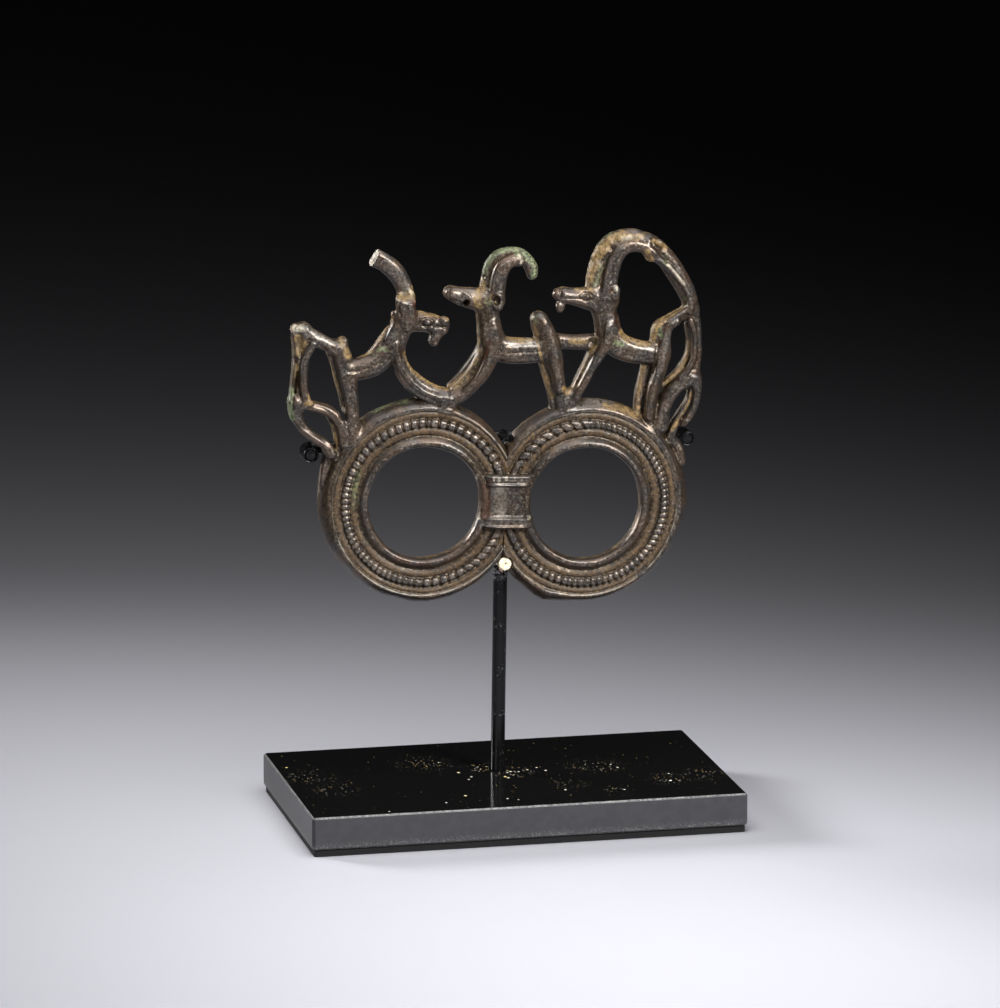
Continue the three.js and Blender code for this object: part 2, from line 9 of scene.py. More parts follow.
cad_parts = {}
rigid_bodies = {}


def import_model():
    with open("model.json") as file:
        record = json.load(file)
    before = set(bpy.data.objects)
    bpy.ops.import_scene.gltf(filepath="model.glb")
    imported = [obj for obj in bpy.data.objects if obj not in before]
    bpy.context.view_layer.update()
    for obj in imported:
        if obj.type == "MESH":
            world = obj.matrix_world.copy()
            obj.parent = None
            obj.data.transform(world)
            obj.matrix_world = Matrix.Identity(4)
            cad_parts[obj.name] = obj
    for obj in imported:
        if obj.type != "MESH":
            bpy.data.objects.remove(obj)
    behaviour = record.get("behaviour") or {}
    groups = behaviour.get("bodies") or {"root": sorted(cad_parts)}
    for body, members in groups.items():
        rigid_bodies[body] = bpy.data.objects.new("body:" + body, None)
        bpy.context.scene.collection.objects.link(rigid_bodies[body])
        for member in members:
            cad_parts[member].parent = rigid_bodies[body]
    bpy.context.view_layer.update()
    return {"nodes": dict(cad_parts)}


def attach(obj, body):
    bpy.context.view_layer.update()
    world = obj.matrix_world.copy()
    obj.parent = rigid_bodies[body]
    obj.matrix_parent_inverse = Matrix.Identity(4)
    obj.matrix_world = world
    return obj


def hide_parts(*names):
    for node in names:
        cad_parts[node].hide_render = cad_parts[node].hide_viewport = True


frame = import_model()

MM = 0.001


# The camera stands to the left of the object's middle and above it, as the photograph was taken
CAMERA_AZIMUTH = math.radians(-12.634)
CAMERA_ELEVATION = math.radians(12.264)
CAMERA_DISTANCE = 1869.2 * MM
CAMERA_AIM_RIGHT = -0.76 * MM
CAMERA_AIM_UP = 89.19 * MM
CAMERA_LENS = 230.0


def make_camera():
    sa, ca = math.sin(CAMERA_AZIMUTH), math.cos(CAMERA_AZIMUTH)
    se, ce = math.sin(CAMERA_ELEVATION), math.cos(CAMERA_ELEVATION)
    back = Vector((sa * ce, -ca * ce, se))
    right = Vector((ca, sa, 0))
    up = back.cross(right)
    place = right * CAMERA_AIM_RIGHT + up * CAMERA_AIM_UP + back * CAMERA_DISTANCE
    data = bpy.data.cameras.new("camera")
    data.lens = CAMERA_LENS
    data.sensor_width = 36
    data.clip_start = 0.1
    data.clip_end = 50
    camera = bpy.data.objects.new("camera", data)
    camera.matrix_world = Matrix.Translation(place) @ Matrix((right, up, back)).transposed().to_4x4()
    bpy.context.scene.collection.objects.link(camera)
    bpy.context.scene.camera = camera


class Shader:
    """A material's node tree, built by short calls: each gives back the new node's first output."""

    def __init__(self, name):
        self.material = bpy.data.materials.new(name)
        self.material.use_nodes = True
        self.tree = self.material.node_tree
        self.tree.nodes.clear()
        self.surface = self.tree.nodes.new("ShaderNodeBsdfPrincipled")
        output = self.tree.nodes.new("ShaderNodeOutputMaterial")
        self.tree.links.new(self.surface.outputs[0], output.inputs[0])

    def put(self, socket, value):
        if isinstance(value, bpy.types.NodeSocket):
            self.tree.links.new(value, socket)
        elif isinstance(value, tuple) and len(value) == 3 and socket.type == "RGBA":
            socket.default_value = (*value, 1)
        else:
            socket.default_value = value

    def set(self, **values):
        for name, value in values.items():
            self.put(self.surface.inputs[name.replace("_", " ")], value)

    def place(self, scale=(1, 1, 1)):
        coordinates = self.tree.nodes.new("ShaderNodeTexCoord")
        mapping = self.tree.nodes.new("ShaderNodeMapping")
        self.tree.links.new(coordinates.outputs["Object"], mapping.inputs["Vector"])
        mapping.inputs["Scale"].default_value = scale
        return mapping.outputs[0]

    def noise(self, size, detail=4, rough=0.55, at=None, distortion=0):
        """Noise with features of about this size in millimetres."""
        node = self.tree.nodes.new("ShaderNodeTexNoise")
        self.put(node.inputs["Vector"], at or self.place())
        node.inputs["Scale"].default_value = 1 / (size * MM)
        node.inputs["Detail"].default_value = detail
        node.inputs["Roughness"].default_value = rough
        node.inputs["Distortion"].default_value = distortion
        return node.outputs[0]

    def cells(self, size, randomness=1, at=None):
        """Distance to the middle of the nearest cell, where cells are about this size in millimetres."""
        node = self.tree.nodes.new("ShaderNodeTexVoronoi")
        self.put(node.inputs["Vector"], at or self.place())
        node.inputs["Scale"].default_value = 1 / (size * MM)
        node.inputs["Randomness"].default_value = randomness
        return node.outputs["Distance"]

    def ramp(self, value, low, high, start=0.0, end=1.0):
        """Start below low, end above high, smoothly in between."""
        node = self.tree.nodes.new("ShaderNodeMapRange")
        node.interpolation_type = "SMOOTHSTEP"
        for name, x in [("Value", value), ("From Min", low), ("From Max", high), ("To Min", start), ("To Max", end)]:
            self.put(node.inputs[name], x)
        return node.outputs[0]

    def math(self, operation, a, b=0.0):
        node = self.tree.nodes.new("ShaderNodeMath")
        node.operation = operation
        self.put(node.inputs[0], a)
        self.put(node.inputs[1], b)
        return node.outputs[0]

    def mix(self, share, a, b):
        """Colour a where share is 0, colour b where it is 1."""
        node = self.tree.nodes.new("ShaderNodeMix")
        node.data_type = "RGBA"
        self.put(node.inputs["Factor"], share)
        self.put(node.inputs["A"], a)
        self.put(node.inputs["B"], b)
        return node.outputs["Result"]

    def attribute(self, name):
        node = self.tree.nodes.new("ShaderNodeAttribute")
        node.attribute_name = name
        return node.outputs["Fac"]

    def facing(self, axis):
        """The surface normal's part along an axis of the frame."""
        node = self.tree.nodes.new("ShaderNodeNewGeometry")
        split = self.tree.nodes.new("ShaderNodeSeparateXYZ")
        self.tree.links.new(node.outputs["Normal"], split.inputs[0])
        return split.outputs[axis]

    def height(self):
        """Height above the ground in millimetres."""
        split = self.tree.nodes.new("ShaderNodeSeparateXYZ")
        self.tree.links.new(self.place((1000, 1000, 1000)), split.inputs[0])
        return split.outputs[2]

    def away(self, x, y):
        """Distance in millimetres from an upright line."""
        node = self.tree.nodes.new("ShaderNodeVectorMath")
        node.operation = "DISTANCE"
        self.tree.links.new(self.place((1000, 1000, 0)), node.inputs[0])
        node.inputs[1].default_value = (x, y, 0)
        return node.outputs["Value"]

    def bump(self, height, depth, strength=1.0):
        """Bump from a height of 0 to 1 that stands for this depth in millimetres."""
        node = self.tree.nodes.new("ShaderNodeBump")
        node.inputs["Strength"].default_value = strength
        node.inputs["Distance"].default_value = depth * MM
        self.put(node.inputs["Height"], height)
        self.put(self.surface.inputs["Normal"], node.outputs[0])


def bronze_material():
    """Old cast bronze: a dark glossy patina with pale worn grain, tan sides, ochre bands and stains, painted highlights
    on fronts, ridges and teeth, and painted shade in hollows, grooves, notches and deep parts.
    """
    s = Shader("bronze")
    broad, middle = s.noise(6, detail=3), s.noise(2.4, detail=5)
    fine, grain = s.noise(0.75, detail=6, rough=0.7), s.noise(0.28, detail=4, rough=0.7)
    high, hollow, depth = s.attribute("high"), s.attribute("hollow"), s.attribute("depth")
    front = s.ramp(s.facing(1), -0.75, -0.97)
    notch, rib = s.math("PINGPONG", s.attribute("turn"), 0.5), s.attribute("rib")
    tooth = s.math("MULTIPLY", s.math("MULTIPLY", rib, s.ramp(notch, 0.16, 0.24)), s.ramp(broad, 0.36, 0.56, 0.35, 1))
    colour = s.mix(s.ramp(broad, 0.38, 0.62), (0.044, 0.039, 0.037), (0.078, 0.053, 0.039))
    colour = s.mix(s.ramp(middle, 0.48, 0.64, 0, 0.65), colour, (0.022, 0.017, 0.013))
    colour = s.mix(s.ramp(grain, 0.58, 0.70, 0, 0.5), colour, (0.260, 0.178, 0.075))
    # Pale metal: worn on ridges, worn and partly painted sheen on front faces, painted highlights on the tooth tops and
    # along the painted highlight strokes
    wear_and_highlight = s.math("MULTIPLY", s.math("MAXIMUM", high, front), s.ramp(fine, 0.50, 0.66))
    wear_and_highlight = s.math("MAXIMUM", wear_and_highlight, s.math("MULTIPLY", tooth, s.ramp(fine, 0.38, 0.60, 0.1, 0.85)))
    wear_and_highlight = s.math("MAXIMUM", wear_and_highlight, s.math("MULTIPLY", s.attribute("painted_highlight"), s.ramp(fine, 0.36, 0.60)))
    colour = s.mix(s.math("MULTIPLY", wear_and_highlight, 0.66), colour, (0.260, 0.232, 0.205))
    side = s.math("MULTIPLY", s.ramp(s.facing(1), -0.50, 0.05), s.ramp(depth, 0.4, 2.0))
    tan = s.math("MULTIPLY", side, s.ramp(middle, 0.36, 0.60, 0.1, 0.85))
    colour = s.mix(tan, colour, s.mix(s.ramp(fine, 0.4, 0.6), (0.032, 0.019, 0.006), (0.130, 0.080, 0.027)))
    # Painted shade: darker on parts lying deep behind the front
    colour = s.mix(s.ramp(depth, 3.2, 5.6, 0, 0.55), colour, (0.014, 0.009, 0.005))
    dull = tan
    band = s.math("MULTIPLY", s.attribute("band"), s.ramp(middle, 0.30, 0.50, 0.55, 1))
    ochre = s.mix(s.ramp(fine, 0.38, 0.64), (0.018, 0.009, 0.002), (0.088, 0.045, 0.011))
    ochre = s.mix(s.ramp(grain, 0.56, 0.70, 0, 0.55), ochre, (0.340, 0.215, 0.070))
    gold = s.mix(s.ramp(fine, 0.36, 0.62), (0.050, 0.028, 0.008), (0.225, 0.142, 0.048))
    stains = [
        (band, ochre),
        (s.attribute("green"), s.mix(s.ramp(fine, 0.42, 0.6), (0.020, 0.030, 0.012), (0.140, 0.165, 0.075))),
        (s.attribute("ochre"), gold), (s.attribute("pale"), (0.36, 0.32, 0.25)),
    ]
    for share, stain in stains:
        share = s.ramp(s.math("MULTIPLY", share, s.ramp(middle, 0.34, 0.60, 0.55, 1.25)), 0.18, 0.85, 0, 0.85)
        colour = s.mix(share, colour, stain)
        dull = s.math("MAXIMUM", dull, share)
    red = s.math("MULTIPLY", s.attribute("red"), s.ramp(middle, 0.34, 0.60, 0.6, 1.1))
    colour = s.mix(s.ramp(red, 0.2, 0.9, 0, 0.9), colour, (0.045, 0.014, 0.006))
    dull = s.math("MAXIMUM", dull, s.ramp(red, 0.5, 1.3, 0, 0.8))
    # Painted shade in hollows and along the dark strokes, from near black to brown earth, kept off the tooth tops
    shade = s.math("MULTIPLY", hollow, s.ramp(fine, 0.35, 0.6, 0.85, 0.5))
    shade = s.math("MAXIMUM", s.math("MULTIPLY", shade, s.ramp(tooth, 0, 1, 1, 0.2)), s.math("MULTIPLY", s.attribute("dark"), 0.85))
    colour = s.mix(shade, colour, s.mix(s.ramp(fine, 0.44, 0.62), (0.010, 0.006, 0.003), (0.075, 0.046, 0.015)))
    # Painted shade in the notches between the teeth, in a dark golden brown
    colour = s.mix(s.math("MULTIPLY", rib, s.ramp(notch, 0.17, 0.08, 0, 0.7)), colour, (0.038, 0.022, 0.008))
    s.set(Base_Color=colour, Metallic=s.ramp(dull, 0, 1, 0.6, 0.1), IOR=1.5)
    s.set(Roughness=s.math("ADD", s.ramp(fine, 0.35, 0.65, 0.26, 0.38), s.math("MULTIPLY", dull, 0.3)))
    s.bump(s.math("ADD", fine, s.math("MULTIPLY", grain, 0.5)), 0.05)
    return s.material


# Flakes and dust on the block's top: place in millimetres and radius
FLAKES = [
    ((-12.4, 3.2), 0.40), ((-9.8, -2.4), 0.34), ((-11.2, -5.2), 0.28), ((-16.0, -22.8), 0.42), ((12.8, 0.0), 0.36),
    ((45.4, -19.0), 0.36), ((2.6, 1.0), 0.42), ((1.4, 0.0), 0.3), ((0.4, -5.8), 0.36), ((-0.2, -4.4), 0.36),
    ((7.8, 2.0), 0.3), ((11.0, 3.8), 0.3), ((4.8, 0.4), 0.28), ((13.4, -22.6), 0.32), ((34.0, -1.2), 0.28),
    ((-23.0, -29.2), 0.3), ((-3.0, 8.0), 0.3), ((30.0, -26.0), 0.28), ((-15.6, 15.8), 0.24), ((-60.0, 19.6), 0.34),
    ((-5.0, -28.6), 0.28), ((-40.8, -35.2), 0.26), ((46.8, -11.2), 0.24), ((32.8, 2.6), 0.24), ((-2.2, -30.4), 0.22),
]
DUST = [
    ((-3.5, 6.5), 8, 1.0), ((3.0, 0.5), 8, 1.0), ((-19, 15), 12, 0.45), ((28, 2), 11, 0.45), ((45, -17), 9, 0.4),
    ((28, -25), 6, 0.4), ((57, -14), 9, 0.45), ((-56, 8), 11, 0.4), ((-51, -9), 10, 0.35), ((16, -16), 8, 0.3),
]


def acrylic_material():
    """Black acrylic: polished and dusty on top, satin on its sawn sides, with a worn edge between them; the sides carry
    painted sheen and the left end painted shade.
    """
    s = Shader("black_acrylic")
    fine, grain = s.noise(0.5, detail=6, rough=0.75), s.noise(2.5, detail=4)
    top = s.ramp(s.facing(2), 0.80, 0.97)
    # Sawn sides: grey satin, partly painted sheen that makes them lighter and bluer than the top
    side = s.mix(s.ramp(grain, 0.35, 0.65), (0.028, 0.028, 0.032), (0.034, 0.034, 0.039))
    # Painted shade: the left end of the block is darker
    side = s.mix(s.ramp(s.facing(0), -0.5, -0.9), side, s.mix(s.ramp(fine, 0.35, 0.65), (0.005, 0.005, 0.006), (0.022, 0.022, 0.024)))
    height = s.height()
    low = s.ramp(height, 4.6, 2.4)
    side = s.mix(s.math("MULTIPLY", low, s.ramp(fine, 0.50, 0.62)), side, (0.16, 0.155, 0.15))
    edge = s.math("MULTIPLY", s.ramp(height, 10.9, 11.3), s.ramp(fine, 0.44, 0.60))
    side = s.mix(edge, side, (0.20, 0.195, 0.19))
    specks = s.math("MULTIPLY", s.ramp(s.cells(1.9), 0.10, 0.06), s.ramp(grain, 0.50, 0.60, 0, 0.6))
    near = None
    for (x, y), reach, density in DUST:
        share = s.ramp(s.away(x, y), reach, 0.25 * reach)
        share = s.math("MULTIPLY", share, density)
        near = share if near is None else s.math("MAXIMUM", near, share)
    dust = s.math("MULTIPLY", near, s.ramp(s.cells(0.95), 0.28, 0.16))
    dust = s.math("MULTIPLY", dust, s.ramp(s.noise(1.4, detail=3), 0.44, 0.56))
    specks = s.math("MAXIMUM", specks, dust)
    for (x, y), radius in FLAKES:
        specks = s.math("MAXIMUM", specks, s.ramp(s.away(x, y), radius + 0.1, radius - 0.05))
    pale = s.mix(s.ramp(grain, 0.45, 0.55), (0.75, 0.73, 0.67), (0.80, 0.56, 0.24))
    face = s.mix(specks, (0.004, 0.004, 0.004), pale)
    s.set(Base_Color=s.mix(top, side, face), IOR=1.49)
    s.set(Roughness=s.math("MAXIMUM", s.ramp(top, 0, 1, 0.42, 0.07), s.math("MULTIPLY", specks, 0.8)))
    s.bump(s.math("ADD", specks, s.math("MULTIPLY", fine, 0.15)), 0.06)
    return s.material


def shrink_tube_material():
    """Glossy black shrink tube with a few scratches and pale specks, and a pale torn top that is partly painted glints.
    """
    s = Shader("shrink_tube")
    wear = s.noise(0.8, detail=5, rough=0.7)
    scratch = s.math("MULTIPLY", s.ramp(wear, 0.57, 0.66), s.ramp(s.noise(5, detail=2), 0.52, 0.62))
    high = s.height()
    # Pale on the torn top: partly torn plastic, partly painted glints
    torn_rim_glint = s.math("MULTIPLY", s.ramp(high, 68.0, 69.4), s.ramp(high, 75.0, 74.0))
    torn_rim_glint = s.math("MULTIPLY", torn_rim_glint, s.ramp(wear, 0.46, 0.58))
    pale = s.math("MAXIMUM", s.math("MULTIPLY", scratch, 0.6), torn_rim_glint)
    s.set(Base_Color=s.mix(pale, (0.003, 0.003, 0.0034), (0.20, 0.20, 0.205)), IOR=1.3)
    s.set(Roughness=s.ramp(wear, 0.3, 0.7, 0.14, 0.24))
    s.bump(wear, 0.03)
    return s.material


def black_coat_material():
    """Black paint on the wire and the rod."""
    s = Shader("black_coat")
    wear = s.noise(0.8, detail=5)
    s.set(Base_Color=s.mix(s.ramp(wear, 0.6, 0.75), (0.003, 0.003, 0.004), (0.02, 0.02, 0.022)), IOR=1.35)
    s.set(Roughness=s.ramp(wear, 0.3, 0.7, 0.24, 0.36))
    s.bump(wear, 0.04)
    return s.material


def felt_material():
    s = Shader("felt")
    fibre = s.noise(0.3, detail=6, rough=0.8)
    s.set(Base_Color=s.mix(fibre, (0.001, 0.001, 0.001), (0.008, 0.008, 0.009)), Roughness=0.95)
    s.bump(fibre, 0.4)
    return s.material


def cream_material():
    s = Shader("cream_padding")
    grain = s.noise(0.5, detail=5)
    s.set(Base_Color=s.mix(s.ramp(grain, 0.4, 0.65), (0.80, 0.74, 0.60), (0.55, 0.46, 0.28)), Roughness=0.7)
    s.bump(grain, 0.15)
    return s.material


def bare_metal_material():
    s = Shader("bare_metal")
    grain = s.noise(0.4, detail=5)
    s.set(Base_Color=s.mix(grain, (0.45, 0.27, 0.20), (0.75, 0.55, 0.46)), Metallic=0.9, Roughness=0.38)
    s.bump(grain, 0.06)
    return s.material


def floor_material():
    s = Shader("floor")
    s.set(Base_Color=(0.60, 0.60, 0.65), Roughness=0.9)
    return s.material


WARM = (1.0, 0.985, 0.95)


def make_stage():
    """A pale floor under the object, a soft box close above it, and softer lights from the front and behind."""
    bpy.ops.mesh.primitive_plane_add(size=12, location=(0, 2.5, 0))
    floor = bpy.context.object
    floor.name = "floor"
    floor.data.materials.append(floor_material())
    world = bpy.data.worlds.new("world")
    world.use_nodes = True
    world.node_tree.nodes["Background"].inputs[0].default_value = (0.9, 0.93, 1.0, 1)
    world.node_tree.nodes["Background"].inputs[1].default_value = 0.002
    bpy.context.scene.world = world
    soft_light("top_light", (-0.05, -0.16, 0.37), (-0.5, -0.1, -1), 0.40, 1.75)
    soft_light("key_light", (0.30, -0.52, 0.40), None, 0.22, 7.5)
    soft_light("fill_light", (-0.45, -0.50, 0.08), None, 0.30, 0.9)
    soft_light("rim_light", (-0.50, 0.40, 0.30), None, 0.25, 0.38, 36)
    soft_light("floor_light", (0.02, -0.24, 0.55), (0, 0.05, -1), 0.25, 0.14, 45)
    bpy.context.scene.view_settings.view_transform = "Standard"


def keep_off_the_floor(*names):
    """Lets these lights shine on the object alone."""
    lit = bpy.data.collections.new("object")
    for thing in bpy.context.scene.objects:
        if thing.type == "MESH" and thing.name != "floor":
            lit.objects.link(thing)
    for name in names:
        bpy.data.objects[name].light_linking.receiver_collection = lit


def soft_light(name, place, towards, size, power, spread=180):
    """A square soft box, facing towards a direction or the object, whose beam opens this many degrees."""
    towards = Vector(towards) if towards else Vector((0, 0, 0.1)) - Vector(place)
    data = bpy.data.lights.new(name, "AREA")
    data.size = size
    data.energy = power
    data.spread = math.radians(spread)
    data.color = WARM if name == "key_light" else (1, 1, 1)
    light = bpy.data.objects.new(name, data)
    light.location = place
    light.rotation_mode = "QUATERNION"
    light.rotation_quaternion = towards.to_track_quat("-Z", "Y")
    light.visible_camera = False
    bpy.context.scene.collection.objects.link(light)


# The casting is worked out as one solid on a grid in the fitting's own frame: millimetres, x right, z up, y away
STEP = 0.3
GRID_X = np.arange(-66.3, 58.5, STEP)
GRID_Z = np.arange(-32.4, 82.5, STEP)
GRID_Y = np.arange(-11.4, 0.0, STEP)
FAR = 4.0
FRONT = -8.0
BACK = -2.0

# For each millimetre that a point lies deeper than the front plane, the camera sees it this far left and up
SIGHT_X = -0.235
SIGHT_Z = 0.205


def smooth_union(a, b, blend):
    share = np.clip(0.5 + 0.5 * (a - b) / blend, 0, 1)
    return a + (b - a) * share - blend * share * (1 - share)


def smoothstep(value, low, high):
    t = np.clip((value - low) / (high - low), 0, 1)
    return t * t * (3 - 2 * t)


def curve_through(rows, parts=4):
    """Catmull-Rom steps through rows of numbers."""
    rows = np.asarray(rows, float)
    if len(rows) == 1:
        return np.vstack([rows, rows + 1e-4])
    before, after = 2 * rows[0] - rows[1], 2 * rows[-1] - rows[-2]
    rows = np.vstack([before, rows, after])
    steps = []
    for a, b, c, d in zip(rows[:-3], rows[1:-2], rows[2:-1], rows[3:]):
        for t in np.arange(parts) / parts:
            bend = (2 * a - 5 * b + 4 * c - d) * t * t + (3 * b - a - 3 * c + d) * t ** 3
            steps.append(0.5 * (2 * b + (c - a) * t + bend))
    return np.array(steps + [rows[-2]])


def span(axis, low, high):
    return slice(*np.searchsorted(axis, [low, high]))


def chain_distance(chain, x, z):
    """Distance in the plane to a chain of [x, z, ...] rows, with the chain's other values at its nearest place."""
    nearest = np.full((len(x), len(z)), np.inf)
    values = np.zeros((chain.shape[1] - 2, *nearest.shape))
    for a, b in zip(chain[:-1], chain[1:]):
        step = b[:2] - a[:2]
        ahead = (x[:, None] - a[0]) * step[0] + (z[None, :] - a[1]) * step[1]
        t = np.clip(ahead / max(step @ step, 1e-9), 0, 1)
        away = np.hypot(x[:, None] - a[0] - t * step[0], z[None, :] - a[1] - t * step[1])
        here = a[2:, None, None] + (b - a)[2:, None, None] * t
        rank = away - here[0] if len(values) else away
        closer = rank < nearest
        nearest = np.where(closer, rank, nearest)
        values = np.where(closer, here, values)
    return nearest, values


def lattice_noise(axes, size, seed):
    """Smooth noise of about one unit in height, with lumps of this size, over the grid of these axes."""
    draw = np.random.default_rng(seed)
    counts = [int((axis[-1] - axis[0]) / size) + 4 for axis in axes]
    noise = draw.normal(size=counts)
    for k, axis in enumerate(axes):
        place = (axis - axis[0]) / size
        cell = place.astype(int)
        t = place - cell
        weights = np.zeros((len(axis), counts[k]))
        taps = [(1 - t) ** 3, 4 - 6 * t ** 2 + 3 * t ** 3, 1 + 3 * t + 3 * t ** 2 - 3 * t ** 3, t ** 3]
        for offset, tap in enumerate(taps):
            weights[np.arange(len(axis)), cell + offset] = tap / 6
        noise = np.moveaxis(np.tensordot(weights, noise, (1, k)), 0, k)
    return (noise * 2.6).astype(np.float32)


def box_blur(field, cells):
    for axis in range(3):
        total = np.cumsum(field, axis=axis, dtype=np.float64)
        ahead = np.take(total, np.clip(np.arange(field.shape[axis]) + cells, 0, field.shape[axis] - 1), axis)
        behind = np.take(total, np.clip(np.arange(field.shape[axis]) - cells - 1, 0, None), axis)
        field = ((ahead - behind) / (2 * cells + 1)).astype(np.float32)
    return field


class Sheet:
    """A map in front of the fitting that strokes are laid on, thrown back along the camera's line of sight."""

    def __init__(self):
        self.map = np.zeros((len(GRID_X), len(GRID_Z)), np.float32)

    def near(self, points, reach):
        low, high = np.min(points, 0) - reach, np.max(points, 0) + reach
        block = span(GRID_X, low[0], high[0]), span(GRID_Z, low[1], high[1])
        chain = curve_through(points)
        return block, chain_distance(chain, GRID_X[block[0]], GRID_Z[block[1]])[0]

    def press(self, height, width, points):
        """Adds a soft-sided stroke of this height."""
        block, away = self.near(points, 3 * width)
        self.map[block] += height * np.exp(-(away / width) ** 2)

    def stain(self, share, width, points):
        """Raises the map to this share within the stroke."""
        block, away = self.near(points, 2 * width)
        self.map[block] = np.maximum(self.map[block], share * (1 - smoothstep(away, 0.35 * width, 1.5 * width)))

    def at_depth(self, depth):
        """The map as it falls on the plane at this depth."""
        back = depth - FRONT
        return shifted(self.map, SIGHT_X * back / STEP, SIGHT_Z * back / STEP)

    def at(self, points):
        back = points[:, 1] - FRONT
        return look_up(self.map, (points[:, 0] + SIGHT_X * back - GRID_X[0]) / STEP,
                       (points[:, 2] + SIGHT_Z * back - GRID_Z[0]) / STEP)


def shifted(values, dx, dz):
    """Values read dx and dz cells further on."""
    for axis, offset in ((0, dx), (1, dz)):
        whole = math.floor(offset)
        part = offset - whole
        places = np.arange(values.shape[axis]) + whole
        near = np.take(values, np.clip(places, 0, values.shape[axis] - 1), axis)
        far = np.take(values, np.clip(places + 1, 0, values.shape[axis] - 1), axis)
        values = near + (far - near) * part
    return values


def look_up(values, *places):
    """Values between the cells of a grid of any number of axes."""
    cells, parts = [], []
    for axis, place in enumerate(places):
        place = np.clip(place, 0, values.shape[axis] - 1.001)
        cells.append(place.astype(int))
        parts.append(place - cells[-1])
    total = 0
    for corner in range(2 ** len(places)):
        weight, index = 1, []
        for axis, (cell, part) in enumerate(zip(cells, parts)):
            far = corner >> axis & 1
            index.append(cell + far)
            weight = weight * (part if far else 1 - part)
        total = total + values[tuple(index)] * weight
    return total


class Casting:
    """A solid as distances from its surface, in which each place also knows the piece that it belongs to."""

    def __init__(self, pieces):
        shape = len(GRID_X), len(GRID_Z), len(GRID_Y)
        self.pieces = pieces
        self.field = np.full(shape, FAR, np.float32)
        self.nearest = np.full(shape, FAR, np.float32)
        self.owner = np.zeros(shape, np.int8)

    def join(self, piece, block, distance, blend):
        distance = distance.astype(np.float32)
        self.field[block] = smooth_union(self.field[block], distance, blend)
        closer = distance < self.nearest[block]
        self.nearest[block] = np.where(closer, distance, self.nearest[block])
        self.owner[block] = np.where(closer, self.pieces.index(piece), self.owner[block])

    def strand(self, piece, points, front=FRONT, back=BACK, blend=0.9, roundness=0.9, cut=None):
        """A bar along points of [x, z, half width], with a rounded section between two depths."""
        points = np.asarray(points, float)
        reach = points[:, 2].max() + 2
        low, high = points[:, :2].min(0) - reach, points[:, :2].max(0) + reach
        block = span(GRID_X, low[0], high[0]), span(GRID_Z, low[1], high[1])
        away, (width,) = chain_distance(curve_through(points), GRID_X[block[0]], GRID_Z[block[1]])
        half = (back - front) / 2
        edge = (roundness * np.minimum(width, half))[..., None]
        side = away[..., None] + edge
        rise = np.abs(GRID_Y - (front + back) / 2) - half + edge
        inner = np.minimum(np.maximum(side, rise), 0)
        distance = inner + np.hypot(np.maximum(side, 0), np.maximum(rise, 0)) - edge
        if cut:
            distance = np.maximum(distance, beyond(block, *cut))
        self.join(piece, block, distance, blend)

    def knob(self, piece, centre, radii, blend=0.4, hollow=False):
        """An egg at (x, y, z), added to the piece or taken out of it."""
        reach = max(radii) + 1.5
        block = span(GRID_X, centre[0] - reach, centre[0] + reach), span(GRID_Z, centre[2] - reach, centre[2] + reach)
        across = [
            (GRID_X[block[0]][:, None, None] - centre[0]) / radii[0],
            (GRID_Y[None, None, :] - centre[1]) / radii[1],
            (GRID_Z[block[1]][None, :, None] - centre[2]) / radii[2],
        ]
        scaled = np.sqrt(sum(a * a for a in across))
        distance = (scaled - 1) * min(radii)
        if hollow:
            self.field[block] = -smooth_union(-self.field[block], distance.astype(np.float32), blend)
        else:
            self.join(piece, block, distance, blend)


def beyond(block, point, out):
    """Distance past a plane through a point (x, y, z), in the direction out."""
    out = np.array(out, float) / np.linalg.norm(out)
    along = (GRID_X[block[0]][:, None, None] - point[0]) * out[0]
    away = (GRID_Y[None, None, :] - point[1]) * out[1]
    up = (GRID_Z[block[1]][None, :, None] - point[2]) * out[2]
    return along + away + up


# A ring's section as [radius, y], once round: bore, inner roll, band, notched rib, band, outer roll and a low ledge
RING_SPACING = 47.2
LEDGE_RADIUS = 30.0
WARP_FROM = 25.4
RING_SECTION = [
    [18.4, -2.0], [17.2, -2.6], [16.5, -4.0], [16.3, -5.6], [16.35, -7.2], [16.8, -8.2], [17.5, -8.5], [18.3, -8.2],
    [19.0, -7.5], [19.5, -6.9], [19.8, -6.95], [20.2, -7.25], [20.8, -7.4], [21.4, -7.35], [21.8, -7.0], [22.05, -7.2],
    [22.25, -7.75], [22.6, -8.0], [23.2, -8.05], [23.8, -8.0], [24.2, -7.75], [24.4, -7.2], [24.6, -6.85], [24.9, -7.1],
    [25.5, -7.35], [26.1, -7.35], [26.5, -7.05], [26.8, -7.4], [27.3, -7.75], [27.9, -7.6], [28.6, -6.95],
    [29.3, -5.9], [29.9, -4.6], [30.1, -3.4], [29.6, -2.4], [28.6, -1.95], [26.0, -1.9], [22.0, -1.9],
]
OCHRE_BANDS = [(19.9, 21.8), (24.6, 26.4)]
PALE_LINES = [(19.0, 19.4), (26.7, 27.2)]

# Outer radius of each ring by angle in degrees, clockwise from the top
LEFT_REACH = [
    [0, 30.0], [30, 29.0], [45, 28.4], [60, 28.2], [90, 28.4], [135, 29.3], [180, 29.6], [210, 29.2], [225, 29.0],
    [245, 30.0], [270, 30.5], [300, 30.5], [330, 30.2], [360, 30.0],
]
RIGHT_REACH = [
    [0, 30.0], [45, 30.2], [90, 30.5], [120, 29.6], [150, 29.2], [180, 29.4], [194, 30.0], [200, 30.9], [206, 30.6],
    [215, 29.8], [240, 29.0], [270, 28.5], [315, 29.6], [360, 30.0],
]

